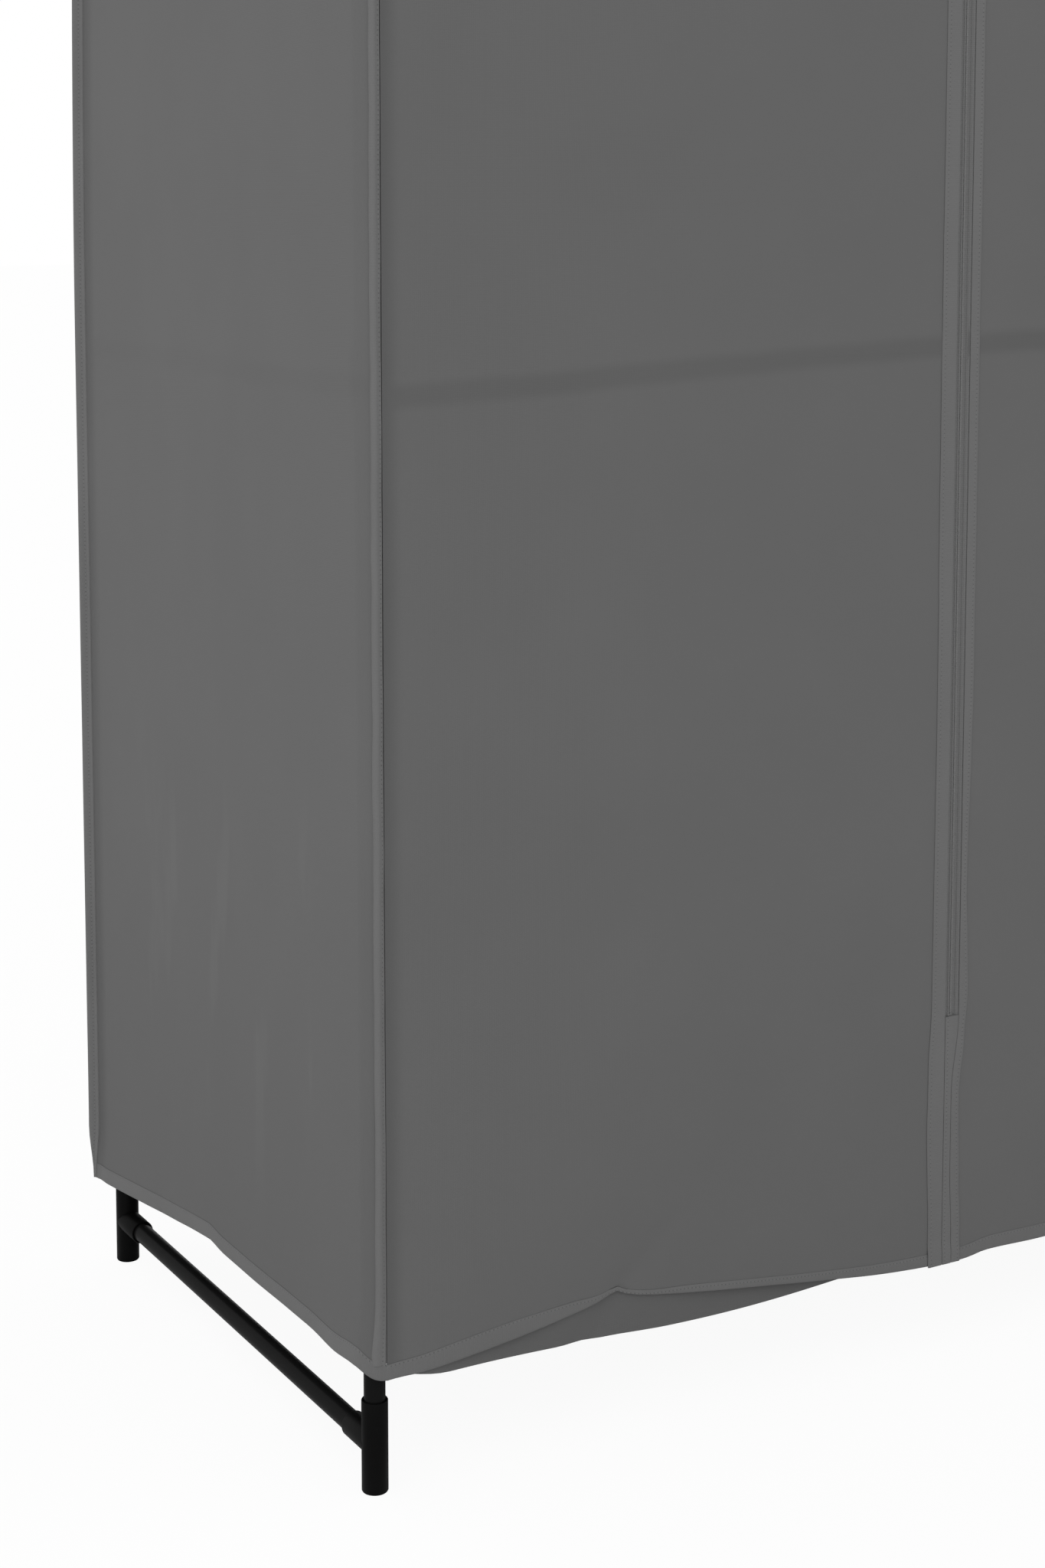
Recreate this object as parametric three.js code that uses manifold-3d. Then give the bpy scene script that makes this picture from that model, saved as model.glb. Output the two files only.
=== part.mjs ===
// Portable fabric wardrobe. Steel tubes are pushed into moulded plastic connectors, and a loose
// sewn cover with a zip down the middle of its front hangs over them on bare feet.
// Millimetres, +Z up, the front looks towards -Y, and the floor is at zero.

import * as THREE from 'three';
import { mergeVertices } from 'three/addons/utils/BufferGeometryUtils.js';
import Module from 'manifold-3d';

const wasm = await Module();
wasm.setup();

// Frame sizes
const legSpacingWide = 1030;
const legSpacingDeep = 490;
const sideBarHeight = 38;
const midRailHeight = 813;
const topRailHeight = 1588;
const tubeRadius = 8;
const tubeWall = 0.8;
const fitGap = 0.3;

// Moulded connectors
const sleeveWall = 1.3;
const collarRise = 0.5;
const collarLength = 3;
const sleeveReach = 34.5;
const branchReach = 36;
const stopReach = 11;
const footChamfer = 1;

// Cover cloth
const clothThickness = 1;
const topSag = 7;
const frontClothDepth = 14.5;
const frontSeamDepth = 12;
const frontSettleRun = 40;
const frontBillow = 5;
const headerDepth = 63;
const wallRise = 2;

// How far the loose back corners stand outside the leg axes
const cornerOutHem = 19;
const cornerOutMid = 26;
const cornerOutTop = 12;
const cornerBackHem = 35;
const cornerBackMid = 36;
const cornerBackTop = 14;
const sideFlareStart = 270;
const backFlareRun = 120;

// Hem
const hemBandHeight = 12;
const hemBandThickness = 2.4;
const frontCornerHem = 86;
const zipHem = 80.5;
const sideHem = 92;
const backCornerHem = 66;
const backHem = 70;
const pinchLift = 26;
const pinchReach = 200;
const pinchPlace = 203;
const pinchPush = 8;
const pinchHeight = 90;
const tuckLift = 3;
const tuckReach = 60;
const tuckPlace = 560;
const rightLift = 14;
const rightReach = 170;
const rightPlace = 800;
const pinchSharpness = 1.6;

// Bound seams
const bindingWidth = 8;
const bindingThickness = 3;
const seamInset = 3.6;
const topBindingHeight = 9.4;
const frontSeamLeanShare = 0.06;
const backSeamLeanShare = 0.35;

// Inner facing behind the front hem
const facingLow = 80.8;
const facingTop = 190;
const facingBend = 110;
const facingDip = 7;
const facingSetIn = 1.5;
const facingEndGap = 5;

// Zip
const zipSplitLow = 300;
const zipEndLow = 279;
const zipStopHeight = 3;
const facingWidth = 13;
const zipHalfGap = 5.5;
const tapeWidth = 14;
const tapeThickness = 0.8;
const coilWidth = 1.5;
const coilDepth = 2.6;
const coilHalfGap = 0.9;

// Slider and its pull
const sliderHalfLength = 8;
const sliderHalfWidthTop = 4.6;
const sliderHalfWidthLow = 3.6;
const sliderPlate = 1;
const sliderPost = 1.2;
const sliderPostLength = 4;
const bridgeHalfWidth = 1;
const bridgeHalfLength = 5;
const bridgeRise = 3.8;
const bridgeThickness = 1;
const pullLength = 33;
const pullWidth = 8;
const pullThickness = 1.6;
const pullArmGap = 0.6;
const pullHoleLength = 9;
const pullTipShare = 0.62;

// Shelf
const shelfSag = 6;
const shelfEndGap = 5;

// Facets
const roundSides = 16;
const arcStep = Math.PI / 12;

// Finishes, as sRGB colours
const clothFinish = { color: 0x666666, roughness: 0.92, metalness: 0 };
const frontFinish = { color: 0x636363, roughness: 0.92, metalness: 0 };
const bindingFinish = { color: 0x6c6c6c, roughness: 0.86, metalness: 0 };
const tubeFinish = { color: 0x131315, roughness: 0.38, metalness: 0.1 };
const plasticFinish = { color: 0x101012, roughness: 0.5, metalness: 0 };
const zipFinish = { color: 0x5e5e5e, roughness: 0.7, metalness: 0 };
const metalFinish = { color: 0x4a4a4d, roughness: 0.35, metalness: 0.8 };

// Values worked out from the sizes above
const halfWide = legSpacingWide / 2;
const halfDeep = legSpacingDeep / 2;
const boreRadius = tubeRadius + fitGap;
const sleeveRadius = boreRadius + sleeveWall;
const halfCloth = clothThickness / 2;
const wrapRadius = (sleeveRadius + collarRise + fitGap) / Math.cos(arcStep / 2) + halfCloth;
const topClothHeight = topRailHeight + sleeveRadius + collarRise + fitGap + halfCloth;
const wallTop = topRailHeight + wallRise;
const headerLow = wallTop - headerDepth;
const seamX = halfWide - seamInset;
const flapEdgeX = seamX - bindingThickness / 4;
const splitGap = fitGap;

const up = new THREE.Vector3(0, 0, 1);
const wardrobe = new THREE.Group();

function addPiece(name, geometry, finish, place = new THREE.Vector3()) {
  const mesh = new THREE.Mesh(geometry, new THREE.MeshStandardMaterial(finish));
  mesh.name = name;
  mesh.position.copy(place);
  wardrobe.add(mesh);
}

function ramp(value) {
  const t = THREE.MathUtils.clamp(value, 0, 1);
  return t * t * (3 - 2 * t);
}

function spread(low, high, steps) {
  return Array.from({ length: steps + 1 }, (_, i) => low + ((high - low) * i) / steps);
}

// Manifold joins and cuts

function toSolid(geometry) {
  const bare = geometry.clone();
  bare.deleteAttribute('normal');
  bare.deleteAttribute('uv');
  const merged = mergeVertices(bare);
  const mesh = new wasm.Mesh({
    numProp: 3,
    vertProperties: Float32Array.from(merged.attributes.position.array),
    triVerts: Uint32Array.from(merged.index.array),
  });
  return new wasm.Manifold(mesh);
}

function toGeometry(solid) {
  const mesh = solid.getMesh();
  const geometry = new THREE.BufferGeometry();
  geometry.setAttribute('position', new THREE.BufferAttribute(mesh.vertProperties, 3));
  geometry.setIndex(new THREE.BufferAttribute(mesh.triVerts, 1));
  return geometry;
}

// A closed geometry from points and triangles, turned so that its faces point out

function closedBody(points, triangles) {
  let volume = 0;
  for (const [a, b, c] of triangles) {
    volume += points[a].dot(new THREE.Vector3().crossVectors(points[b], points[c]));
  }
  const turned = volume < 0 ? triangles.map(([a, b, c]) => [a, c, b]) : triangles;
  const geometry = new THREE.BufferGeometry().setFromPoints(points);
  geometry.setIndex(turned.flat());
  return geometry;
}

// A thin sheet: place(s, v) is its middle surface, sampled at the stations s and the rows v

function sheet({ place, stations, rows, thickness, loop = false }) {
  const middle = rows.map((v) => stations.map((s) => place(s, v)));
  const count = stations.length;
  const points = [];
  for (const side of [-1, 1]) {
    for (let j = 0; j < rows.length; j++) {
      for (let i = 0; i < count; i++) {
        const before = loop ? (i + count - 1) % count : Math.max(i - 1, 0);
        const after = loop ? (i + 1) % count : Math.min(i + 1, count - 1);
        const along = middle[j][after].clone().sub(middle[j][before]);
        const rise = middle[Math.min(j + 1, rows.length - 1)][i].clone();
        rise.sub(middle[Math.max(j - 1, 0)][i]);
        const normal = along.cross(rise).normalize();
        points.push(middle[j][i].clone().addScaledVector(normal, (side * thickness) / 2));
      }
    }
  }
  const at = (side, i, j) => (side * rows.length + j) * count + (i % count);
  const triangles = [];
  const quad = (a, b, c, d) => triangles.push([a, b, c], [a, c, d]);
  const last = loop ? count : count - 1;
  for (let i = 0; i < last; i++) {
    for (let j = 0; j < rows.length - 1; j++) {
      quad(at(0, i, j), at(0, i + 1, j), at(0, i + 1, j + 1), at(0, i, j + 1));
      quad(at(1, i, j), at(1, i, j + 1), at(1, i + 1, j + 1), at(1, i + 1, j));
    }
    const top = rows.length - 1;
    quad(at(0, i, 0), at(1, i, 0), at(1, i + 1, 0), at(0, i + 1, 0));
    quad(at(0, i, top), at(0, i + 1, top), at(1, i + 1, top), at(1, i, top));
  }
  if (!loop) {
    for (let j = 0; j < rows.length - 1; j++) {
      quad(at(0, 0, j), at(0, 0, j + 1), at(1, 0, j + 1), at(1, 0, j));
      quad(at(0, last, j), at(1, last, j), at(1, last, j + 1), at(0, last, j + 1));
    }
  }
  return closedBody(points, triangles);
}

// An upright prism from an outline in plan, given as [x, y] points

function prism(outline, low, high) {
  const shape = new THREE.Shape(outline.map(([x, y]) => new THREE.Vector2(x, y)));
  const geometry = new THREE.ExtrudeGeometry(shape, { depth: high - low, bevelEnabled: false });
  return geometry.translate(0, 0, low);
}

function box(low, high) {
  const size = high.map((value, i) => value - low[i]);
  const centre = high.map((value, i) => (value + low[i]) / 2);
  return new THREE.BoxGeometry(...size).translate(...centre);
}

// Steel tubes, open at both ends

function tube(length) {
  const bore = tubeRadius - tubeWall;
  const wall = [[bore, 0], [tubeRadius, 0], [tubeRadius, length], [bore, length], [bore, 0]];
  const profile = wall.map(([r, y]) => new THREE.Vector2(r, y));
  const geometry = new THREE.LatheGeometry(profile, roundSides);
  return geometry.translate(0, -length / 2, 0);
}

function addTube(name, from, to) {
  const run = to.clone().sub(from);
  const geometry = tube(run.length() - 2 * stopReach);
  const turn = new THREE.Quaternion();
  turn.setFromUnitVectors(new THREE.Vector3(0, 1, 0), run.clone().normalize());
  geometry.applyQuaternion(turn);
  addPiece(name, geometry, tubeFinish, from.clone().add(to).multiplyScalar(1 / 2));
}

// A moulded connector: one sleeve for each arm, with a stop inside and a collar at its mouth

function sleeve(reach, hasFoot) {
  const mouth = sleeveRadius + collarRise;
  const open = [
    [sleeveRadius, reach - collarLength - collarRise],
    [mouth, reach - collarLength],
    [mouth, reach],
  ];
  const foot = [
    [sleeveRadius, reach - footChamfer],
    [sleeveRadius - footChamfer, reach],
  ];
  const profile = [[0, 0], [sleeveRadius, 0], ...(hasFoot ? foot : open), [0, reach]];
  return new THREE.LatheGeometry(profile.map(([r, y]) => new THREE.Vector2(r, y)), roundSides);
}

function bore(start, reach) {
  const length = reach - start + collarLength;
  const geometry = new THREE.CylinderGeometry(boreRadius, boreRadius, length, roundSides);
  return geometry.translate(0, start + length / 2, 0);
}

function connector(arms, hasHub = false) {
  const turned = (geometry, direction) => {
    const turn = new THREE.Quaternion();
    turn.setFromUnitVectors(new THREE.Vector3(0, 1, 0), new THREE.Vector3(...direction));
    return toSolid(geometry.applyQuaternion(turn));
  };
  let body = turned(sleeve(arms[0].reach, arms[0].foot), arms[0].towards);
  for (const arm of arms.slice(1)) {
    body = body.add(turned(sleeve(arm.reach, arm.foot), arm.towards));
  }
  if (hasHub) {
    const hub = new THREE.SphereGeometry(sleeveRadius, roundSides, roundSides / 2);
    body = body.add(toSolid(hub.rotateX(Math.PI / 2)));
  }
  for (const arm of arms.filter(({ foot }) => !foot)) {
    const start = arm.through ? -sleeveReach - collarLength : stopReach - fitGap;
    body = body.subtract(turned(bore(start, arm.reach), arm.towards));
  }
  return toGeometry(body);
}

const corners = [
  { name: 'front_left', x: -1, y: -1 },
  { name: 'front_right', x: 1, y: -1 },
  { name: 'back_left', x: -1, y: 1 },
  { name: 'back_right', x: 1, y: 1 },
];
const at = (x, y, z) => new THREE.Vector3(x * halfWide, y * halfDeep, z);

for (const { name, x, y } of corners) {
  const upArm = { towards: [0, 0, 1], reach: sleeveReach };
  const downArm = { towards: [0, 0, -1], reach: sleeveReach };
  const wideArm = { towards: [-x, 0, 0], reach: branchReach };
  const deepArm = { towards: [0, -y, 0], reach: branchReach };
  const footArm = { towards: [0, 0, -1], reach: sideBarHeight, foot: true };
  const lower = at(x, y, sideBarHeight);
  const middle = at(x, y, midRailHeight);
  const top = at(x, y, topRailHeight);
  addPiece(`foot_tee_${name}`, connector([upArm, footArm, deepArm]), plasticFinish, lower);
  const midArms = [upArm, downArm, wideArm, deepArm];
  addPiece(`mid_connector_${name}`, connector(midArms), plasticFinish, middle);
  const topArms = [downArm, wideArm, deepArm];
  addPiece(`top_corner_${name}`, connector(topArms, true), plasticFinish, top);
  addTube(`lower_upright_${name}`, lower, middle);
  addTube(`upper_upright_${name}`, middle, top);
}

for (const [side, x] of [['left', -1], ['right', 1]]) {
  addTube(`bottom_bar_${side}`, at(x, -1, sideBarHeight), at(x, 1, sideBarHeight));
  addTube(`mid_rail_${side}`, at(x, -1, midRailHeight), at(x, 1, midRailHeight));
  addTube(`top_rail_${side}`, at(x, -1, topRailHeight), at(x, 1, topRailHeight));
  const arms = [
    { towards: [0, 1, 0], reach: sleeveReach, through: true },
    { towards: [0, -1, 0], reach: sleeveReach, through: true },
    { towards: [-x, 0, 0], reach: branchReach },
  ];
  addPiece(`hanging_rail_tee_${side}`, connector(arms), plasticFinish, at(x, 0, topRailHeight));
}
for (const [side, y] of [['front', -1], ['back', 1]]) {
  addTube(`mid_rail_${side}`, at(-1, y, midRailHeight), at(1, y, midRailHeight));
  addTube(`top_rail_${side}`, at(-1, y, topRailHeight), at(1, y, topRailHeight));
}
addTube('hanging_rail', at(-1, 0, topRailHeight), at(1, 0, topRailHeight));

// Cloth shelf: it wraps under the front and back mid rails and sags a little between them

function shelfProfile() {
  const inner = tubeRadius + fitGap;
  const outer = inner + clothThickness;
  const tuckAngle = Math.PI / 3;
  const shape = new THREE.Shape();
  shape.absarc(-halfDeep, 0, outer, -tuckAngle, Math.PI / 2, true);
  shape.quadraticCurveTo(0, outer - 2 * shelfSag, halfDeep, outer);
  shape.absarc(halfDeep, 0, outer, Math.PI / 2, Math.PI + tuckAngle, true);
  shape.absarc(halfDeep, 0, inner, Math.PI + tuckAngle, Math.PI / 2, false);
  shape.quadraticCurveTo(0, inner - 2 * shelfSag, -halfDeep, inner);
  shape.absarc(-halfDeep, 0, inner, Math.PI / 2, -tuckAngle, false);
  return shape;
}

const shelfLength = legSpacingWide - 2 * (branchReach + shelfEndGap);
const shelf = new THREE.ExtrudeGeometry(shelfProfile(), {
  depth: shelfLength,
  bevelEnabled: false,
  curveSegments: roundSides / 2,
});
const yAxis = new THREE.Vector3(0, 1, 0);
const xAxis = new THREE.Vector3(1, 0, 0);
shelf.translate(0, 0, -shelfLength / 2);
shelf.applyMatrix4(new THREE.Matrix4().makeBasis(yAxis, up, xAxis));
addPiece('mid_shelf', shelf, clothFinish, new THREE.Vector3(0, 0, midRailHeight));

// Where the cover's corners stand at each height

function between(z, hem, mid, top) {
  const lower = hem + (mid - hem) * ramp(z / midRailHeight);
  const upper = mid + (top - mid) * ramp((z - midRailHeight) / (wallTop - midRailHeight));
  return z < midRailHeight ? lower : upper;
}
const cornerOut = (z) => between(z, cornerOutHem, cornerOutMid, cornerOutTop);
const cornerBack = (z) => between(z, cornerBackHem, cornerBackMid, cornerBackTop);

// Side wall, as its length s behind the front leg's axis. Ahead of the axis it wraps round the
// upright to the front seam.

const wrapTurn = wrapRadius * (Math.PI / 2);
const seamRun = wrapTurn + seamInset - bindingThickness / 4;

function sideWall(side, s, z) {
  let x = wrapRadius;
  let y = s;
  if (s < -wrapTurn) {
    x = s + wrapTurn;
    y = -wrapRadius;
  } else if (s < 0) {
    x = wrapRadius * Math.cos(-s / wrapRadius);
    y = -wrapRadius * Math.sin(-s / wrapRadius);
  } else {
    const end = legSpacingDeep + cornerBack(z);
    const back = (s / sideEnd) * end;
    const flare = ramp((back - sideFlareStart) / (end - sideFlareStart));
    x = wrapRadius + (cornerOut(z) - wrapRadius) * flare;
    y = back;
  }
  return new THREE.Vector3(side * (halfWide + x), y - halfDeep, z);
}

const sideEnd = legSpacingDeep + cornerBackHem;

function sideHemAt(s) {
  const corner = THREE.MathUtils.lerp(frontCornerHem, sideHem, ramp((s + seamRun) / seamRun));
  const back = THREE.MathUtils.clamp((s - sideFlareStart) / (sideEnd - sideFlareStart), 0, 1);
  return corner + (backCornerHem - sideHem) * back;
}

const arcStations = spread(-wrapTurn, 0, Math.round(Math.PI / 2 / arcStep));
const sideStations = [-seamRun, ...arcStations, ...spread(0, sideEnd, 11).slice(1)];
const panelLow = hemBandHeight + fitGap;

// Back wall, from corner to corner; t runs from -1 to 1

function backWall(t, z) {
  const reach = halfWide + cornerOut(z);
  const x = t * reach;
  const run = (Math.abs(x) - (reach - backFlareRun)) / backFlareRun;
  const y = halfDeep + wrapRadius + (cornerBack(z) - wrapRadius) * ramp(run);
  return new THREE.Vector3(x, y, z);
}

function backHemAt(t) {
  return THREE.MathUtils.lerp(backHem, backCornerHem, t * t);
}

// Front wall, as the distance s to the right of the left seam's leg axis

function liftAt(s, place, reach, height) {
  const away = Math.abs(s - place) / reach;
  return away < 1 ? height * (1 - away) ** pinchSharpness : 0;
}

function frontHemAt(s) {
  const fromZip = Math.min(Math.abs(s - halfWide) / halfWide, 1);
  const pinch = liftAt(s, pinchPlace, pinchReach, pinchLift);
  const tuck = liftAt(s, tuckPlace, tuckReach, tuckLift);
  const right = liftAt(s, rightPlace, rightReach, rightLift);
  return THREE.MathUtils.lerp(zipHem, frontCornerHem, fromZip) + pinch + tuck + right;
}

function frontWall(s, z) {
  const edge = Math.min(s - (halfWide - seamX), legSpacingWide - (halfWide - seamX) - s);
  const settled = frontSeamDepth + (frontClothDepth - frontSeamDepth) * ramp(edge / frontSettleRun);
  const half = Math.abs(s - halfWide) / halfWide;
  const across = Math.sin(Math.PI * half) ** 2;
  const panelShare = z < midRailHeight
    ? (z - frontCornerHem) / (midRailHeight - frontCornerHem)
    : (z - midRailHeight) / (wallTop - midRailHeight);
  const billow = frontBillow * across * Math.sin(Math.PI * THREE.MathUtils.clamp(panelShare, 0, 1));
  const low = ramp(1 - (z - frontHemAt(s)) / pinchHeight);
  const push = pinchPush * (liftAt(s, pinchPlace, pinchReach, pinchLift) / pinchLift) * low;
  const swell = tuckLift * (liftAt(s, rightPlace, rightReach, rightLift) / rightLift) * low;
  return new THREE.Vector3(s - halfWide, -(halfDeep + settled + billow - push + swell), z);
}

// Panels of the cover

function wallPanel(place, hem, stations, rows, high = wallTop - fitGap) {
  const surface = (s, v) => {
    const low = hem(s) + panelLow;
    return place(s, low + (high - low) * v);
  };
  return sheet({ place: surface, stations, rows, thickness: clothThickness });
}

const miterGap = halfCloth + fitGap;
const sidePanelStations = [...sideStations.slice(0, -1), sideEnd - miterGap];
for (const [name, side] of [['left', -1], ['right', 1]]) {
  const place = (s, z) => sideWall(side, s, z);
  const panel = wallPanel(place, sideHemAt, sidePanelStations, spread(0, 1, 12));
  addPiece(`side_panel_${name}`, panel, clothFinish);
}

const backEndShare = 1 - miterGap / (halfWide + cornerOutMid);
const backStations = [-1, -0.95, -0.9, -0.85, -0.8, -0.4, 0, 0.4, 0.8, 0.85, 0.9, 0.95, 1];
const backPanelStations = backStations.map((t) => t * backEndShare);
const backPanel = wallPanel(backWall, backHemAt, backPanelStations, spread(0, 1, 12));
addPiece('back_panel', backPanel, clothFinish);

const topEdge = wrapRadius - hemBandThickness / 2 - fitGap;
const topEdgeShare = topEdge / (halfWide + topEdge);
const topPanel = sheet({
  place: (t, v) => {
    const x = t * (halfWide + topEdge);
    const y = v * (halfDeep + topEdge * Math.min((1 - Math.abs(t)) / topEdgeShare, 1));
    const dip = topSag * (1 - t * t) * Math.sin(Math.PI * v) ** 2;
    return new THREE.Vector3(x, y, topClothHeight - dip);
  },
  stations: [-1, ...spread(topEdgeShare - 1, 1 - topEdgeShare, 8), 1],
  rows: spread(-1, 1, 12),
  thickness: clothThickness,
});
addPiece('top_panel', topPanel, clothFinish);

// Front cloth. The two flaps turn on their corner seams; the skirt below the zip and the
// header above it stay with the cover.

const flapStart = halfWide - flapEdgeX;
const flapEnd = halfWide - zipHalfGap - fitGap;
const flapHigh = headerLow - splitGap;

function frontStrip(from, to, low, high, columns, rowCount) {
  const surface = (s, v) => {
    const bottom = typeof low === 'function' ? low(s) + panelLow : low;
    return frontWall(s, bottom + (high - bottom) * v);
  };
  const stations = Array.isArray(columns) ? columns : spread(from, to, columns);
  const rows = spread(0, 1, rowCount);
  return sheet({ place: surface, stations, rows, thickness: clothThickness });
}

const leftFlap = frontStrip(flapStart, flapEnd, zipSplitLow, flapHigh, 14, 14);
addPiece('front_flap_left', leftFlap, frontFinish);
const rightEnd = legSpacingWide - flapStart;
const rightFlap = frontStrip(legSpacingWide - flapEnd, rightEnd, zipSplitLow, flapHigh, 14, 14);
addPiece('front_flap_right', rightFlap, frontFinish);

const skirtStations = [
  ...spread(flapStart, pinchPlace, 8),
  ...spread(pinchPlace, halfWide, 10).slice(1),
  ...spread(halfWide, rightPlace, 9).slice(1),
  ...spread(rightPlace, rightEnd, 7).slice(1),
];
const skirtHigh = zipSplitLow - splitGap;
const skirtCloth = frontStrip(0, 0, frontHemAt, skirtHigh, skirtStations, 7);
const frontFace = halfDeep + frontClothDepth;
const overrun = frontClothDepth;
const zipSlotHalf = zipHalfGap + fitGap;
const skirtSlot = box(
  [-zipSlotHalf, -frontFace - overrun, zipEndLow - fitGap],
  [zipSlotHalf, -halfDeep, zipSplitLow + overrun],
);
const skirt = toSolid(skirtCloth).subtract(toSolid(skirtSlot));
addPiece('front_skirt', toGeometry(skirt), frontFinish);

const zipTopHigh = headerLow + 2 * sliderHalfLength + pullLength;
const headerCloth = frontStrip(flapStart, rightEnd, headerLow, wallTop - fitGap, 12, 2);
const headerSlot = box(
  [-zipSlotHalf, -frontFace - overrun, headerLow - overrun],
  [zipSlotHalf, -halfDeep, zipTopHigh + fitGap],
);
const header = toSolid(headerCloth).subtract(toSolid(headerSlot));
addPiece('front_header', toGeometry(header), frontFinish);

// Inner facing: a strip sewn behind the skirt, with a straight edge that sags a little

const facingStart = sleeveRadius + collarRise + facingEndGap;
const facingFinish = legSpacingWide - facingStart;
const facingMiddle = skirtStations.filter((s) => s > facingStart && s < facingFinish);
const facing = sheet({
  place: (s, v) => {
    const low = facingLow - facingDip * Math.sin((Math.PI * s) / halfWide) ** 2;
    const z = low + (facingTop - low) * v;
    const point = frontWall(s, z);
    const sewn = point.y + clothThickness + fitGap;
    const free = ramp((facingTop - z) / (facingTop - facingBend));
    return point.setY(THREE.MathUtils.lerp(sewn, facingSetIn - halfDeep, free));
  },
  stations: [facingStart, ...facingMiddle, facingFinish],
  rows: spread(0, 1, 5),
  thickness: clothThickness,
});
addPiece('front_inner_facing', facing, frontFinish);

// Binding tapes round the edges of the cloth

function bindingBar(place, lean, levels) {
  const across = new THREE.Vector3(-lean.y, lean.x, 0);
  const halfThick = bindingThickness / 2;
  const ringShares = [[0, -1], [0.8, -1], [1, -0.4], [1, 0.4], [0.8, 1], [0, 1]];
  const points = [];
  for (const z of levels) {
    for (const [out, wide] of ringShares) {
      const point = place(z).clone().addScaledVector(lean, out * bindingWidth);
      points.push(point.addScaledVector(across, wide * halfThick));
    }
  }
  const n = ringShares.length;
  const steps = levels.length - 1;
  const triangles = [];
  for (let j = 0; j < steps; j++) {
    for (let i = 0; i < n; i++) {
      const a = j * n + i;
      const b = j * n + ((i + 1) % n);
      triangles.push([a, b, b + n], [a, b + n, a + n]);
    }
  }
  for (let i = 1; i < n - 1; i++) {
    const end = steps * n;
    triangles.push([0, i + 1, i], [end, end + i, end + i + 1]);
  }
  return closedBody(points, triangles);
}

const backBarLow = backCornerHem + hemBandHeight + hemBandThickness;
const barHigh = wallTop - fitGap;
const frontBarLow = frontCornerHem + hemBandHeight + bindingThickness;
const onCloth = wrapRadius + halfCloth + fitGap + bindingThickness / 2;
for (const [name, side] of [['left', -1], ['right', 1]]) {
  const frontLean = new THREE.Vector3(side, -frontSeamLeanShare, 0).normalize();
  const backLean = new THREE.Vector3(side * backSeamLeanShare, 1, 0).normalize();
  const frontSeam = (z) => new THREE.Vector3(side * seamX, -(halfDeep + onCloth), z);
  const backSeam = (z) => {
    const x = side * (halfWide + cornerOut(z));
    const corner = new THREE.Vector3(x, halfDeep + cornerBack(z), z);
    return corner.addScaledVector(backLean, halfCloth + 2 * fitGap);
  };
  const frontBar = bindingBar(frontSeam, frontLean, [frontBarLow, barHigh]);
  addPiece(`corner_binding_front_${name}`, frontBar, bindingFinish);
  const backBar = bindingBar(backSeam, backLean, spread(backBarLow, barHigh, 16));
  addPiece(`corner_binding_back_${name}`, backBar, bindingFinish);
}

// One tape runs all the way round the hem, and another round the top edge

function roundCover(place, frontStations) {
  const stops = [];
  frontStations.forEach((s) => stops.push(place.front(s)));
  sideStations.forEach((s) => stops.push(place.side(1, s)));
  [...backStations].reverse().slice(1, -1).forEach((t) => stops.push(place.back(t)));
  [...sideStations].reverse().forEach((s) => stops.push(place.side(-1, s)));
  return stops;
}

function loopTape(lowStops, highStops) {
  return sheet({
    place: (i, v) => lowStops[i].clone().lerp(highStops[i], v),
    stations: lowStops.map((_, i) => i),
    rows: [0, 1],
    thickness: hemBandThickness,
    loop: true,
  });
}

const hemStops = (rise) => roundCover({
  front: (s) => frontWall(s, frontHemAt(s) + rise),
  side: (side, s) => sideWall(side, s, sideHemAt(s) + rise),
  back: (t) => backWall(t, backHemAt(t) + rise),
}, skirtStations);
addPiece('hem_binding', loopTape(hemStops(0), hemStops(hemBandHeight)), bindingFinish);

const settleSteps = 3;
const topStations = [
  ...spread(flapStart, frontSettleRun, settleSteps),
  ...spread(legSpacingWide - frontSettleRun, rightEnd, settleSteps),
];
const levelStops = (z) => roundCover({
  front: (s) => frontWall(s, z),
  side: (side, s) => sideWall(side, s, z),
  back: (t) => backWall(t, z),
}, topStations);
const topTape = loopTape(levelStops(wallTop), levelStops(wallTop + topBindingHeight));
addPiece('top_binding', topTape, bindingFinish);

// Zip: a facing strip, and a tape with its row of coils, on each side of the middle

const facingFront = halfDeep + frontClothDepth + halfCloth + fitGap;
const tapeFront = halfDeep + frontClothDepth - halfCloth - fitGap;
const tapeBack = tapeFront - tapeThickness;
const coilMiddle = (tapeFront + tapeBack) / 2;
const coilEdge = coilHalfGap + coilWidth;
const tapeEdge = coilHalfGap + tapeWidth;

function tapeOutline(side) {
  const outline = [
    [tapeEdge, tapeBack],
    [tapeEdge, tapeFront],
    [coilEdge, tapeFront],
    [coilEdge, coilMiddle + coilDepth / 2],
    [coilHalfGap, coilMiddle + coilDepth / 2],
    [coilHalfGap, coilMiddle - coilDepth / 2],
    [coilEdge, coilMiddle - coilDepth / 2],
    [coilEdge, tapeBack],
  ];
  return outline.map(([x, y]) => [side * x, -y]);
}

function facingOutline(side) {
  const outer = zipHalfGap + facingWidth;
  const back = facingFront + clothThickness;
  const outline = [[zipHalfGap, facingFront], [outer, facingFront], [outer, back], [zipHalfGap, back]];
  return outline.map(([x, y]) => [side * x, -y]);
}

for (const [name, side] of [['left', -1], ['right', 1]]) {
  const strip = prism(facingOutline(side), zipSplitLow, flapHigh);
  addPiece(`zip_facing_${name}`, strip, bindingFinish);
  addPiece(`zip_tape_${name}`, prism(tapeOutline(side), zipSplitLow, flapHigh), zipFinish);
}

// The sewn ends of the zip, each closed by a stop, and the seam cover below it

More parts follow.
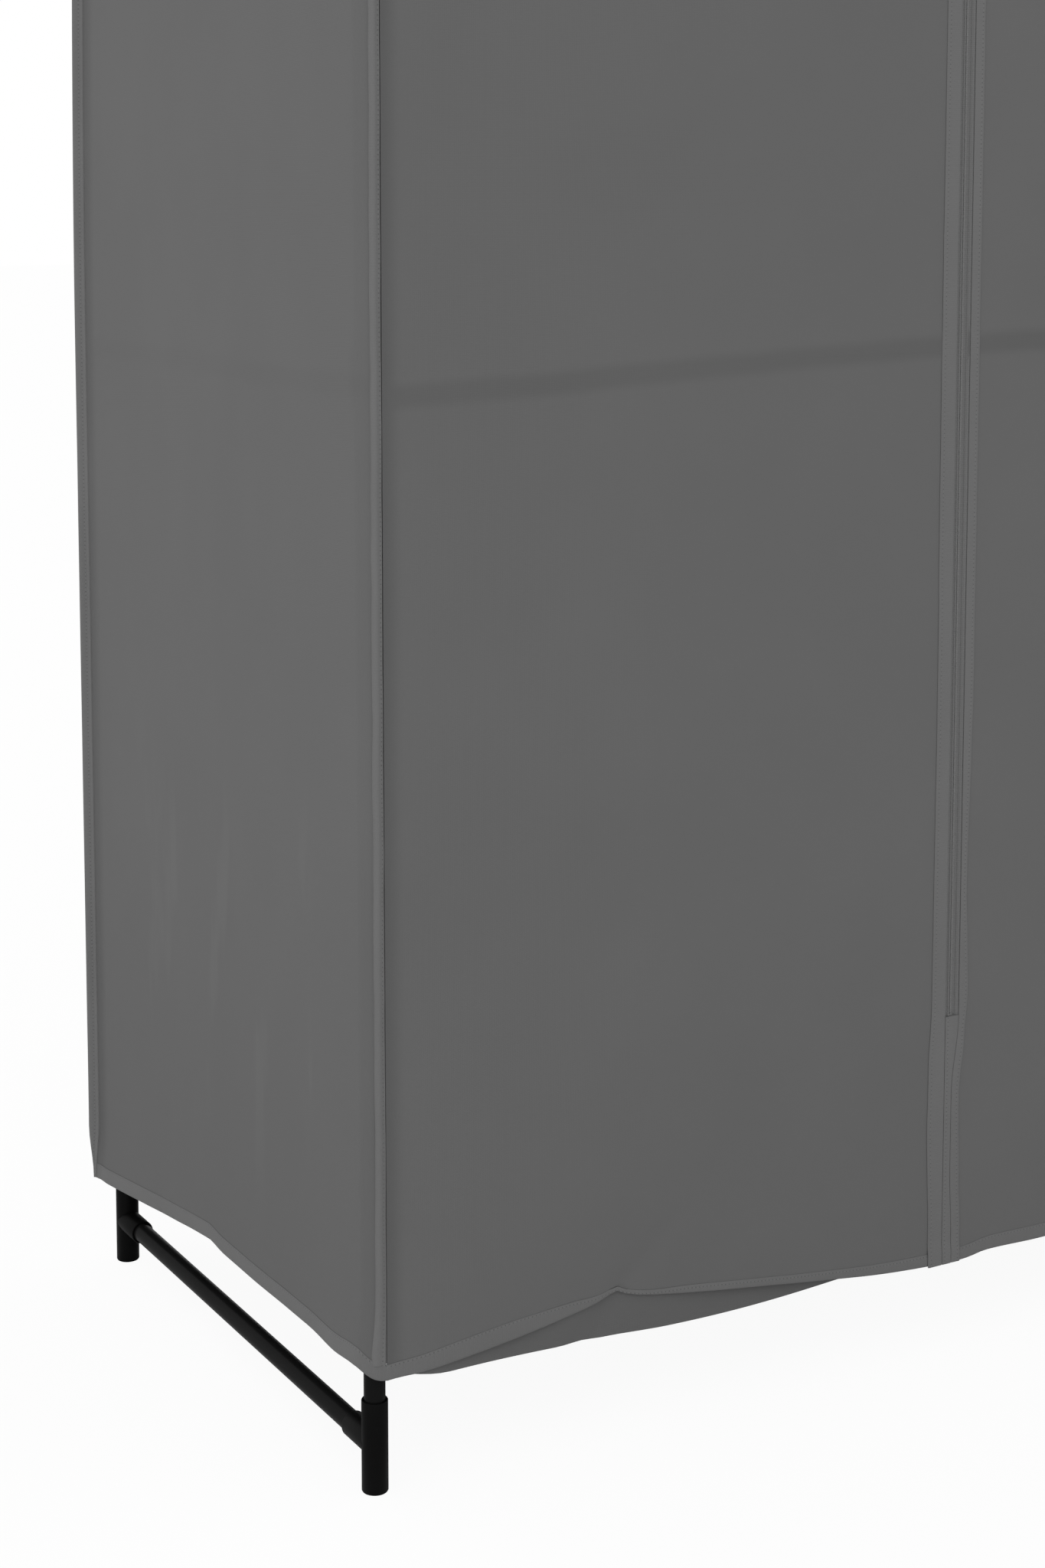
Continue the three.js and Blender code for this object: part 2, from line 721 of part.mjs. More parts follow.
function zipEnd(low, high, stopLow) {
  const stop = box(
    [-coilEdge, -(coilMiddle + coilDepth / 2), stopLow],
    [coilEdge, -(coilMiddle - coilDepth / 2), stopLow + zipStopHeight],
  );
  const left = toSolid(prism(tapeOutline(-1), low, high));
  const right = toSolid(prism(tapeOutline(1), low, high));
  return toGeometry(left.add(right).add(toSolid(stop)));
}

addPiece('zip_bottom_end', zipEnd(zipEndLow, skirtHigh, zipEndLow), zipFinish);
const topStopLow = zipTopHigh - zipStopHeight;
addPiece('zip_top_end', zipEnd(headerLow, zipTopHigh, topStopLow), zipFinish);

const seamCoverHalf = zipHalfGap + facingWidth;
const seamCover = toSolid(prism(
  [
    [-seamCoverHalf, -facingFront - clothThickness],
    [seamCoverHalf, -facingFront - clothThickness],
    [seamCoverHalf, -facingFront],
    [-seamCoverHalf, -facingFront],
  ],
  zipHem + hemBandHeight + tuckLift,
  skirtHigh,
));
addPiece('skirt_seam_cover', toGeometry(seamCover.subtract(toSolid(skirtSlot))), bindingFinish);

// Slider: two plates joined by a post between the coil rows, with flanges that hold the coils
// in and a bridge for the pull. It is drawn about its own centre.

const sliderInner = coilDepth / 2 + fitGap;
const sliderOuter = sliderInner + sliderPlate;
const tapeSlot = tapeThickness / 2 + fitGap;
const sliderRest = topStopLow - fitGap - sliderHalfLength;
const bridgeTop = sliderOuter + bridgeRise;

function sliderPlateShape() {
  const outline = new THREE.Shape();
  outline.moveTo(-sliderHalfWidthLow, -sliderHalfLength);
  outline.lineTo(sliderHalfWidthLow, -sliderHalfLength);
  outline.quadraticCurveTo(sliderHalfWidthLow, 0, sliderHalfWidthTop, sliderHalfLength / 2);
  outline.quadraticCurveTo(sliderHalfWidthTop, sliderHalfLength, 0, sliderHalfLength);
  outline.quadraticCurveTo(-sliderHalfWidthTop, sliderHalfLength, -sliderHalfWidthTop,
    sliderHalfLength / 2);
  outline.quadraticCurveTo(-sliderHalfWidthLow, 0, -sliderHalfWidthLow, -sliderHalfLength);
  return outline;
}

// Extruded in the XZ plane, from one distance in front of the coils to another

function standing(shape, from, to) {
  const geometry = new THREE.ExtrudeGeometry(shape, {
    depth: to - from,
    bevelEnabled: false,
    curveSegments: 4,
  });
  geometry.translate(0, 0, from);
  return toSolid(geometry.rotateX(Math.PI / 2));
}

function sliderBody() {
  const front = standing(sliderPlateShape(), sliderInner, sliderOuter);
  const back = standing(sliderPlateShape(), -sliderOuter, -sliderInner);
  const postLow = sliderHalfLength - sliderPostLength;
  const post = toSolid(box(
    [-sliderPost / 2, -sliderOuter, postLow],
    [sliderPost / 2, sliderOuter, sliderHalfLength - sliderPlate],
  ));
  let body = front.add(back).add(post);
  const flangeInner = coilEdge + fitGap;
  for (const side of [-1, 1]) {
    for (const face of [-1, 1]) {
      const x = [side * flangeInner, side * sliderHalfWidthLow].sort((a, b) => a - b);
      const y = [face * tapeSlot, face * sliderOuter].sort((a, b) => a - b);
      body = body.add(toSolid(box(
        [x[0], y[0], -sliderHalfLength],
        [x[1], y[1], sliderHalfLength / 2],
      )));
    }
  }
  const arch = box(
    [-bridgeHalfWidth, -bridgeTop, -bridgeHalfLength],
    [bridgeHalfWidth, -sliderInner, bridgeHalfLength],
  );
  const gap = box(
    [-sliderHalfWidthTop, -bridgeTop + bridgeThickness, -bridgeHalfLength + bridgeThickness],
    [sliderHalfWidthTop, -sliderOuter, bridgeHalfLength - bridgeThickness],
  );
  return body.add(toSolid(arch).subtract(toSolid(gap)));
}

const sliderPlace = new THREE.Vector3(0, -coilMiddle, sliderRest);
addPiece('zip_slider', toGeometry(sliderBody()), metalFinish, sliderPlace);

// Pull: a tapered tab whose bar passes under the slider's bridge

function pullBody() {
  const armInner = bridgeHalfWidth + pullArmGap;
  const half = pullWidth / 2;
  const barHalf = pullThickness / 2;
  const tip = half * pullTipShare;
  const outline = new THREE.Shape();
  outline.moveTo(-half, barHalf);
  outline.lineTo(half, barHalf);
  outline.lineTo(tip, -pullLength + tip);
  outline.quadraticCurveTo(tip, -pullLength, 0, -pullLength);
  outline.quadraticCurveTo(-tip, -pullLength, -tip, -pullLength + tip);
  const tab = standing(outline, -barHalf, barHalf);
  const eye = box(
    [-armInner, -pullThickness, -pullHoleLength],
    [armInner, pullThickness, -barHalf],
  );
  return tab.subtract(toSolid(eye));
}

const pullDepth = coilMiddle + sliderOuter + (bridgeRise - bridgeThickness) / 2;
const pullPlace = new THREE.Vector3(0, -pullDepth, sliderRest);
addPiece('zip_pull', toGeometry(pullBody()), metalFinish, pullPlace);

// The cover stands out more at the back than at the front, so the whole is moved forward until
// the origin is at the middle of its outer box.

const reach = new THREE.Box3().setFromObject(wardrobe);
wardrobe.position.y = -(reach.min.y + reach.max.y) / 2;

export default wardrobe;
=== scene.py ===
import math

import bmesh
import bpy
from mathutils import Matrix, Vector, noise


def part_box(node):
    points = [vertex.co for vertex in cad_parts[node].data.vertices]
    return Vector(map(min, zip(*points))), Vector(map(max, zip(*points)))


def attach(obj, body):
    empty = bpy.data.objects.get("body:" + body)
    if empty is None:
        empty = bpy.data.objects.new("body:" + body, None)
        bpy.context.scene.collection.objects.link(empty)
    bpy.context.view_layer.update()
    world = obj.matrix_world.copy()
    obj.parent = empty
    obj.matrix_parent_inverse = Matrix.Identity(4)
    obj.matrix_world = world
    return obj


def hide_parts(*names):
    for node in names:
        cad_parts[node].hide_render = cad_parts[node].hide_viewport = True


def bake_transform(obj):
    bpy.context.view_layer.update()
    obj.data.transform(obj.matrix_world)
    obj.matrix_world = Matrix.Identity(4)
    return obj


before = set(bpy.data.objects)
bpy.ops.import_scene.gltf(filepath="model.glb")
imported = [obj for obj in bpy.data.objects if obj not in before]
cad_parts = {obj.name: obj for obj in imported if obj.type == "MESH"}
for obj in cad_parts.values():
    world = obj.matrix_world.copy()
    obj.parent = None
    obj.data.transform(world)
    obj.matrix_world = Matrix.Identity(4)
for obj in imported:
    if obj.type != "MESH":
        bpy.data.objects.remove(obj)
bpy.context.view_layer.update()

# Camera. It stands to the left of the wardrobe's front corner, at chest height, and looks down a
# little. Its shift keeps the uprights nearly upright, as they are in the photograph.
camera = bpy.data.objects.new("camera", bpy.data.cameras.new("camera"))
camera.data.lens = 61.255
camera.data.shift_y = -0.198
camera.location = (-1.3455, -1.9272, 0.9468)
camera.rotation_euler = (math.radians(90 - 6.093), 0, math.radians(-29.757))
bpy.context.scene.collection.objects.link(camera)
bpy.context.scene.camera = camera

# Tubes. Thin steel, drawn to 16 mm and powder coated black. Each is pushed into the sleeves of
# the moulded connectors at its ends and stops against a shoulder inside them.


class Value:
    """One socket of a finish. It takes part in plain sums and adds the Math nodes they need."""

    def __init__(self, finish, socket):
        self.finish = finish
        self.socket = socket

    def math(self, operation, *others):
        return self.finish.node("ShaderNodeMath", {"operation": operation}, [self, *others])

    def __add__(self, other):
        return self.math("ADD", other)

    def __sub__(self, other):
        return self.math("SUBTRACT", other)

    def __rsub__(self, other):
        return self.finish.node("ShaderNodeMath", {"operation": "SUBTRACT"}, [other, self])

    def __mul__(self, other):
        return self.math("MULTIPLY", other)

    def __truediv__(self, other):
        return self.math("DIVIDE", other)

    def size(self):
        return self.math("ABSOLUTE")

    def wave(self):
        return self.math("SINE")

    def part(self):
        return self.math("FRACT")

    def below(self, limit):
        return self.math("LESS_THAN", limit)

    def least(self, other):
        return self.math("MINIMUM", other)

    __radd__ = __add__
    __rmul__ = __mul__


class Finish:
    """One material, and the nodes that make its colour, gloss and fine relief."""

    def __init__(self, name):
        self.material = bpy.data.materials.new(name)
        self.material.use_nodes = True
        self.nodes = self.material.node_tree.nodes
        self.links = self.material.node_tree.links
        self.nodes.clear()

    def node(self, kind, settings=None, inputs=(), output=0):
        made = self.nodes.new(kind)
        for name, value in (settings or {}).items():
            setattr(made, name, value)
        pairs = inputs.items() if isinstance(inputs, dict) else enumerate(inputs)
        for key, value in pairs:
            if isinstance(value, Value):
                self.links.new(value.socket, made.inputs[key])
            else:
                made.inputs[key].default_value = value
        return Value(self, made.outputs[output])

    def coords(self, kind):
        return self.node("ShaderNodeTexCoord", output=kind)

    def axes(self, vector):
        split = self.node("ShaderNodeSeparateXYZ", None, [vector])
        return [Value(self, split.socket.node.outputs[i]) for i in range(3)]

    def noise(self, vector, scale, detail=2.0, roughness=0.5):
        sockets = {"Vector": vector, "Scale": scale, "Detail": detail, "Roughness": roughness}
        return self.node("ShaderNodeTexNoise", None, sockets)

    def blend(self, share, first, second):
        sockets = {0: share, 6: first, 7: second}
        return self.node("ShaderNodeMix", {"data_type": "RGBA"}, sockets, 2)

    def ramp(self, value, low, high, to_low=0.0, to_high=1.0):
        settings = {"interpolation_type": "SMOOTHSTEP"}
        return self.node("ShaderNodeMapRange", settings, [value, low, high, to_low, to_high])

    def bump(self, height, distance, strength=1.0):
        sockets = {"Strength": strength, "Distance": distance, "Height": height}
        return self.node("ShaderNodeBump", None, sockets)

    def surface(self, sockets):
        self.ends_in(self.node("ShaderNodeBsdfPrincipled", None, sockets))

    def ends_in(self, shader):
        end = self.nodes.new("ShaderNodeOutputMaterial")
        self.links.new(shader.socket, end.inputs["Surface"])


def grey(level):
    """A grey of 0 to 255, as it shows on a screen, in the linear numbers that a socket takes."""
    share = level / 255
    linear = ((share + 0.055) / 1.055) ** 2.4 if share > 0.04045 else share / 12.92
    return (linear, linear, linear, 1.0)


powder = Finish("black_powder_coat")
spot = powder.coords("Object")
grain = powder.noise(spot, 900, 2)
patches = powder.noise(spot, 22, 3)
wear = powder.ramp(powder.noise(spot, 60, 4), 0.62, 0.75)
powder.surface({
    "Base Color": powder.blend(patches, grey(19), grey(26)),
    "Roughness": 0.24 + patches * 0.1 + wear * 0.12,
    "Specular IOR Level": 0.035,
    "Normal": powder.bump(grain, 0.00004, 0.5),
})

# Millimetres: a tube's outer and inner radius, the widest radius of a connector's solid, half the
# leg spacings, the heights of the tubes, and how far from its connector's centre a tube stops.
MM = 0.001
TUBE, TUBE_BORE = 8.0, 7.2
COLLAR = 10.1
LEG_WIDE, LEG_DEEP = 515.0, 245.0
BAR, MID, TOP = 36.5, 813.0, 1588.0
STOP = 11.0
LEGS_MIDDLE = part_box("foot_tee_front_left")[0][1] / MM + LEG_DEEP + COLLAR


def place_mm(x, y, z):
    """A place counted from the floor between the four legs, in millimetres."""
    return Vector((x, y + LEGS_MIDDLE, z)) * MM


def turned(bm, profile, start, run, closed=False):
    """Spins a profile of (radius, distance) points, in millimetres, round the line that leaves
    start along run."""
    old = set(bm.verts)
    points = [bm.verts.new((radius * MM, 0, far * MM)) for radius, far in profile]
    pairs = list(zip(points, points[1:])) + [(points[-1], points[0])] * closed
    edges = [bm.edges.new(pair) for pair in pairs]
    bmesh.ops.spin(bm, geom=points + edges, axis=(0, 0, 1), angle=2 * math.pi, steps=48,
                   use_merge=True)
    bmesh.ops.remove_doubles(bm, verts=[v for v in bm.verts if v not in old], dist=0.000001)
    turn = run.to_track_quat("Z", "Y").to_matrix().to_4x4()
    fresh = [v for v in bm.verts if v not in old]
    bmesh.ops.transform(bm, matrix=Matrix.Translation(start) @ turn, verts=fresh)


def finished(name, bm, finish, nodes, body="wardrobe", sharp=35):
    """Turns a closed bmesh into a smooth piece, sharp where it folds hard, which stands for some of
    the solids. A piece given no body here is left unattached."""
    for face in bm.faces:
        face.smooth = True
    for edge in bm.edges:
        if edge.is_manifold:
            edge.smooth = abs(edge.calc_face_angle(0)) < math.radians(sharp)
    mesh = bpy.data.meshes.new(name)
    bm.to_mesh(mesh)
    bm.free()
    mesh.materials.append(finish.material)
    piece = bpy.data.objects.new(name, mesh)
    bpy.context.scene.collection.objects.link(piece)
    if body:
        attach(piece, body)
    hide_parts(*nodes)
    return piece


ends = {"hanging_rail": ((-LEG_WIDE, 0, TOP), (LEG_WIDE, 0, TOP))}
for side, x in (("left", -LEG_WIDE), ("right", LEG_WIDE)):
    for face, y in (("front", -LEG_DEEP), ("back", LEG_DEEP)):
        ends[f"lower_upright_{face}_{side}"] = ((x, y, BAR), (x, y, MID))
        ends[f"upper_upright_{face}_{side}"] = ((x, y, MID), (x, y, TOP))
    for kind, z in (("bottom_bar", BAR), ("mid_rail", MID), ("top_rail", TOP)):
        ends[f"{kind}_{side}"] = ((x, -LEG_DEEP, z), (x, LEG_DEEP, z))
for face, y in (("front", -LEG_DEEP), ("back", LEG_DEEP)):
    for kind, z in (("mid_rail", MID), ("top_rail", TOP)):
        ends[f"{kind}_{face}"] = ((-LEG_WIDE, y, z), (LEG_WIDE, y, z))

for node, (start, end) in ends.items():
    run = Vector(end) - Vector(start)
    far = run.length - STOP
    wall = [(TUBE_BORE, STOP), (TUBE, STOP), (TUBE, far), (TUBE_BORE, far)]
    bm = bmesh.new()
    turned(bm, wall, place_mm(*start), run, True)
    bmesh.ops.recalc_face_normals(bm, faces=bm.faces)
    finished(node.replace("_", "-") + "-tube", bm, powder, [node])

# Connectors. Black plastic, moulded in one shot: a straight sleeve for each tube, with a stop
# inside it and an eased mouth. The closed end of a foot tee stands on the floor.
moulding = Finish("black_moulded_plastic")
spot = moulding.coords("Object")
skin = moulding.noise(spot, 1400, 3)
flow = moulding.noise(spot, 35, 2)
scuff = moulding.ramp(moulding.noise(spot, 240, 5, 0.7), 0.6, 0.7)
moulding.surface({
    "Base Color": moulding.blend(scuff * 0.4 + flow * 0.4, grey(7), grey(17)),
    "Roughness": 0.42 + flow * 0.1 + scuff * 0.14,
    "Specular IOR Level": 0.06,
    "Normal": moulding.bump(skin, 0.00005, 0.6),
})

# How far a sleeve reaches along an upright and along a rail, its outer radius and its bore, and
# the radius and place of the small round mark that the mould's inlet leaves.
UPRIGHT, BRANCH = 33.5, 36.0
SLEEVE, BORE = 9.85, 8.35
INLET, INLET_OUT = 1.3, 9.0


def mouth(reach):
    """A sleeve's eased mouth and its bore, down to the stop that its tube ends on."""
    rim = [(SLEEVE, reach - 0.7), (SLEEVE - 0.25, reach - 0.15), (SLEEVE - 0.6, reach)]
    return rim + [(BORE + 0.35, reach), (BORE, reach - 0.4), (BORE, STOP), (0, STOP)]


def both_ways(rim):
    return [(radius, -far) for radius, far in reversed(rim)] + rim


foot = [(0, -BAR), (8.2, -BAR), (9.3, 0.4 - BAR), (SLEEVE, 1.3 - BAR)] + mouth(UPRIGHT)
through = both_ways(mouth(UPRIGHT))
branch = [(0, 0), (SLEEVE, 0)] + mouth(BRANCH)
hanger = [(0, 0), (SLEEVE, 0)] + mouth(UPRIGHT)
clip = both_ways(mouth(UPRIGHT)[:-2])
upward = Vector((0, 0, 1))


def connector(node, centre, arms):
    """A moulded connector with its arms, each a profile and the way that it points. A clip is the
    one arm that a rail runs right through, so its profile is a closed ring."""
    bm = bmesh.new()
    for profile, run in arms:
        turned(bm, profile, centre, run, profile is clip)
    if node.startswith("top_corner"):
        hub = bmesh.ops.create_uvsphere(bm, u_segments=48, v_segments=24, radius=SLEEVE * MM)
        bmesh.ops.translate(bm, verts=hub["verts"], vec=centre)
    if node.startswith("foot_tee"):
        inlet = bmesh.ops.create_uvsphere(bm, u_segments=12, v_segments=8, radius=INLET * MM)
        outward = -arms[1][1].normalized()
        bmesh.ops.translate(bm, verts=inlet["verts"], vec=centre + outward * (INLET_OUT * MM))
    bmesh.ops.recalc_face_normals(bm, faces=bm.faces)
    name = node.replace("_", "-") + "-moulding"
    finished(name, bm, moulding, [node], sharp=32)


for side, x in (("left", -1), ("right", 1)):
    wide = Vector((-x, 0, 0))
    for face, y in (("front", -1), ("back", 1)):
        deep = Vector((0, -y, 0))
        kinds = (
            ("foot_tee", BAR, [(foot, upward), (branch, deep)]),
            ("mid_connector", MID, [(through, upward), (branch, wide), (branch, deep)]),
            ("top_corner", TOP, [(hanger, -upward), (branch, wide), (branch, deep)]),
        )
        for kind, z, arms in kinds:
            connector(f"{kind}_{face}_{side}", place_mm(x * LEG_WIDE, y * LEG_DEEP, z), arms)
    hold = [(clip, Vector((0, 1, 0))), (branch, wide)]
    connector(f"hanging_rail_tee_{side}", place_mm(x * LEG_WIDE, 0, TOP), hold)

# Side panels. Grey spunbond polypropylene, cut and sewn. Each wraps round its front upright to the
# front corner seam, and hangs loose from there to the back corner, which stands off the frame.

# The cloth's thickness and its clearance, and the radius of its middle surface where it goes round
# an upright, clear of the connectors. The solid goes round in flats of 15 degrees.
CLOTH, GAP = 1.0, 0.3
WRAP = (COLLAR + GAP) / math.cos(math.radians(15) / 2) + CLOTH / 2

# The height where the walls end, the run below it that the top tape holds flat, the hem tape's
# width, the spacing of the cloth's pressed dots, and the height where its sides are rubbed.
WALL_TOP, TOP_RUN = 1590.0, 70.0
HEM_BAND = 12.0
DOT_PITCH = 1.9
RUBBED_HEIGHT = 330.0


def spread(low, high, steps):
    return [low + (high - low) * i / steps for i in range(steps + 1)]


def smooth_share(value):
    t = min(max(value, 0.0), 1.0)
    return t * t * (3 - 2 * t)


def mix(a, b, share):
    return a + (b - a) * share


def near(value, place, reach):
    """1 at the place and fading to 0 on both sides of it."""
    return math.exp(-(((value - place) / reach) ** 2))


def ripple(x, y, z, size):
    """A soft unevenness between -1 and 1, from a place in millimetres."""
    return noise.noise(Vector((x, y, z)) / size)


def level_rail(across):
    """The height of the band of painted rail shadow on a panel that touches the middle rail all along.
    """
    return (MID - 2.5) * MM


def from_middle(across):
    """The distance from a panel's middle, for one without painted shade beside a corner seam."""
    return across.size()


def spunbond(name, level, rail=0.08, seam_shade=0.0, worn=0.0, rail_line=level_rail,
             seam_gap=from_middle):
    """The cover's cloth: pressed dots over tangled fibres, with a soft band of painted shadow where
    the black middle rails lie behind it. It can have painted shade where it folds in beside a corner
    seam, and, by the share in worn, painted shade that darkens it towards the bottom and rubbed pale
    streaks low down. Distances on the cloth are in metres, as its UV map is."""
    cloth = Finish(name)
    across, along, _ = cloth.axes(cloth.coords("UV"))
    spot = cloth.coords("Object")
    height = cloth.axes(spot)[2]
    pitch = 2 * math.pi / (DOT_PITCH * MM)
    dots = ((across + along) * pitch).wave() * ((across - along) * pitch).wave()
    fibres = cloth.noise(spot, 1500, 2, 0.6)
    mottle = cloth.noise(spot, 9, 3)
    wander = cloth.noise(spot, 4, 2)
    upright = cloth.node("ShaderNodeMapping", None, {"Vector": spot, "Scale": (26, 26, 4.5)})
    streaks = cloth.ramp(cloth.noise(upright, 1, 3), 0.56, 0.68)
    rubbed = streaks * cloth.ramp((height - RUBBED_HEIGHT * MM).size(), 0.05, 0.22, 1, 0)
    off_rail = (height - rail_line(across) + (wander - 0.5) * 0.01).size()
    off_seam = seam_gap(across)
    # Painted shadow: a dark band where the middle rail lies behind the cloth.
    rail_shadow = cloth.ramp(off_rail, 0.003, 0.013, 1, 0) * (0.45 + wander) * rail
    dark = rail_shadow * cloth.ramp(off_seam, 0.008, 0.02)
    # Painted shade in the fold beside a corner seam.
    dark = dark + cloth.ramp(off_seam, 0.005, 0.021, 1, 0) * seam_shade
    # Painted shade: the cloth darker towards the bottom, by the share in worn.
    dark = dark + cloth.ramp(height, 0.1, 0.6, 1, 0) * worn * 0.2
    shade = mottle * 0.5 + fibres * 0.3 + cloth.ramp(dots, -0.2, 0.8) * 0.2
    shade = shade + rubbed * worn * 0.45
    plain = cloth.blend(shade, grey(level - 4), grey(level + 4))
    cloth.surface({
        "Base Color": cloth.blend(dark, plain, grey(level - 18)),
        "Roughness": 0.84 + fibres * 0.14,
        "Specular IOR Level": 0.3,
        "Sheen Weight": 0.05,
        "Normal": cloth.bump(dots * -0.5 + fibres, 0.00008, 0.5),
    })
    return cloth


def sheet(name, columns, rows, place, finish, nodes, body="wardrobe"):
    """A grid of cloth moved to its place and then given its thickness. place(s, v) gives the
    middle surface in millimetres, and the UV map unrolls it in metres."""
    bm = bmesh.new()
    across, up = len(columns) - 1, len(rows) - 1
    bmesh.ops.create_grid(bm, x_segments=across, y_segments=up, size=0.5)
    chart = bm.loops.layers.uv.new("UVMap")
    middle = [place(columns[across // 2], v) for v in rows]
    along = [0.0]
    for a, b in zip(middle, middle[1:]):
        along.append(along[-1] + (b - a).length)
    spots = {}
    for vert in bm.verts:
        i, j = round((vert.co.x + 0.5) * across), round((vert.co.y + 0.5) * up)
        spots[vert] = (columns[i] * MM, along[j])
        vert.co = place(columns[i], rows[j])
    for face in bm.faces:
        for loop in face.loops:
            loop[chart].uv = spots[loop.vert]
    bm.normal_update()
    for vert in bm.verts:
        vert.co -= vert.normal * (CLOTH * MM / 2)
    bmesh.ops.solidify(bm, geom=bm.faces[:], thickness=-CLOTH * MM)
    bmesh.ops.recalc_face_normals(bm, faces=bm.faces)
    return finished(name, bm, finish, nodes, body)


# A side's cloth runs from its front upright to the loose back corner. The front seam lies a little
# inside the upright's axis, and the loose corner stands out past the back one. A shallow groove runs
# beside the corner seams, with painted shade in it.
SIDE_END = 2 * LEG_DEEP + 35.0
SEAM_IN, SEAM_PLAY = 3.6, 0.75
WRAP_RUN = WRAP * math.pi / 2
SEAM_RUN = WRAP_RUN + SEAM_IN - SEAM_PLAY
CORNER_OUT, CORNER_BACK, CORNER_BACK_TOP = 11.5, 35.5, 14.0
LEAVES_FRAME = 270.0
GROOVE_IN, GROOVE_WIDE, CREASE_IN = 11.0, 8.0, 11.6
EDGE_IN = 0.8

# The hem's height at the front seam, along the side and at the loose corner, its rise before it
# drops to that corner, and how far it swells out round the front upright and at that corner.
HEM_SEAM, HEM_SIDE, HEM_CORNER = 87.5, 94.8, 65.5
HEM_RISE, RISE_END, RISE_RUN = 2.2, 273.0, 28.0
SWELL, SWELL_TOP = 6.5, 140.0
CORNER_SWELL, CORNER_SWELL_TOP = 3.5, 120.0
SWELL_RUN = 52.0


def swollen(z, top):
    """0 above this height, and 1 low down, where the loose hem stands out."""
    return smooth_share((top - z) / SWELL_RUN)


def below_top(z):
    """0 at the top tape, which holds the cloth flat, and 1 lower down."""
    return smooth_share((WALL_TOP - z) / TOP_RUN)


def corner_out(z):
    return CORNER_OUT + CORNER_SWELL * swollen(z, CORNER_SWELL_TOP)


def corner_back(z):
    return mix(CORNER_BACK, CORNER_BACK_TOP, smooth_share((z - MID) / (WALL_TOP - MID)))


def side_wall(side, s, z):
    """A place on a side. s is 0 beside the front upright, below 0 on the way round it to the
    front seam, and SIDE_END at the back corner."""
    swell = SWELL * swollen(z, SWELL_TOP)
    if s < -WRAP_RUN:
        x, y = s + WRAP_RUN, -WRAP
    elif s < 0:
        turn = -s / WRAP
        x, y = (WRAP + swell * math.cos(turn)) * math.cos(turn), -WRAP * math.sin(turn)
    else:
        end = 2 * LEG_DEEP + corner_back(z)
        y = s / SIDE_END * end
        off_frame = smooth_share((y - LEAVES_FRAME) / (end - LEAVES_FRAME))
        hang = math.sin(math.pi * min(s / SIDE_END, 1)) * below_top(z)
        slack = 1.2 + 1.6 * ripple(side * 170, y, z, 170) + 0.5 * ripple(side * 90, y, z * 0.4, 40)
        over_rail = near(z, MID, 16) * (1 - off_frame)
        beside_seam = near(y, end - GROOVE_IN, GROOVE_WIDE) * below_top(z)
        x = mix(WRAP, corner_out(z), off_frame) + hang * slack
        x = mix(x, max(x, WRAP + 0.6), over_rail)
        x += swell * smooth_share(1 - s / 90) - 1.3 * beside_seam
    return place_mm(side * (LEG_WIDE + x), y - LEG_DEEP, z)


def side_hem(s):
    """The height of a side's hem. It lifts off the front corner and drops to the back one."""
    height = mix(HEM_SEAM, HEM_SIDE, smooth_share((s + SEAM_RUN) / SEAM_RUN))
    height += 4.8 * smooth_share((s + 14) / 12) * near(max(s, 0), 0, 30)
    height += HEM_RISE * smooth_share((s - RISE_END) / RISE_RUN + 1)
    to_corner = min(max((s - RISE_END) / (SIDE_END - RISE_END), 0), 1)
    return height + (HEM_CORNER - HEM_SIDE - HEM_RISE) * to_corner


def from_back_crease(across):
    """The distance from the fold beside the back seam, drawn out so that its painted shade is narrow.
    """
    return ((SIDE_END - CREASE_IN) * MM - across) * 1.45


# The sides have painted shade beside the back seam, and painted shade towards the bottom along with
# their rubbed streaks.
side_cloth = spunbond("spunbond_side", 102, seam_shade=0.12, worn=1.0, seam_gap=from_back_crease)
side_columns = spread(-SEAM_RUN, -WRAP_RUN, 2)[:-1] + spread(-WRAP_RUN, 0, 12)
side_columns += spread(0, SIDE_END, 60)[1:]
for name, side in (("left", -1), ("right", 1)):
    def side_place(s, v, side=side):
        return side_wall(side, s, mix(side_hem(s) + HEM_BAND + GAP, WALL_TOP - GAP, v))

    columns = side_columns[:-1] + [SIDE_END - EDGE_IN]
    panel = sheet(f"side-cloth-{name}", columns, spread(0, 1, 110), side_place, side_cloth,
                  [f"side_panel_{name}"])

# Back panel. The same cloth. It hangs from the top edge behind the rails, and runs out at both
# sides to the loose back corners.
cover_cloth = spunbond("spunbond_cover", 102)
BACK_HALF = 545.0
BACK_LOOSE = 120.0
BACK_SHARES = spread(-1, -0.8, 12) + spread(-0.8, 0.8, 70)[1:-1] + spread(0.8, 1, 12)


def back_wall(t, z):
    """A place on the back, where t runs from -1 to 1 between the corners."""
    reach = LEG_WIDE + corner_out(z)
    x = t * reach
    off_frame = smooth_share((abs(x) - (reach - BACK_LOOSE)) / BACK_LOOSE)
    y = mix(LEG_DEEP + WRAP, LEG_DEEP + corner_back(z), off_frame)
    slack = 1.5 + 1.6 * ripple(x, 900, z, 190) + 0.5 * ripple(x, 400, z * 0.4, 45)
    y += max(1 - abs(t), 0) ** 0.5 * slack * below_top(z)
    return place_mm(x, y, z)


def back_hem(t):
    return mix(HEM_CORNER + 4.5, HEM_CORNER, t * t)


def back_place(s, v):
    t = s / BACK_HALF
    return back_wall(t, mix(back_hem(t) + HEM_BAND + GAP, WALL_TOP - GAP, v))


back_columns = [t * (BACK_HALF - EDGE_IN) for t in BACK_SHARES]
back = sheet("back-cloth", back_columns, spread(0, 1, 110), back_place, cover_cloth,
             ["back_panel"])

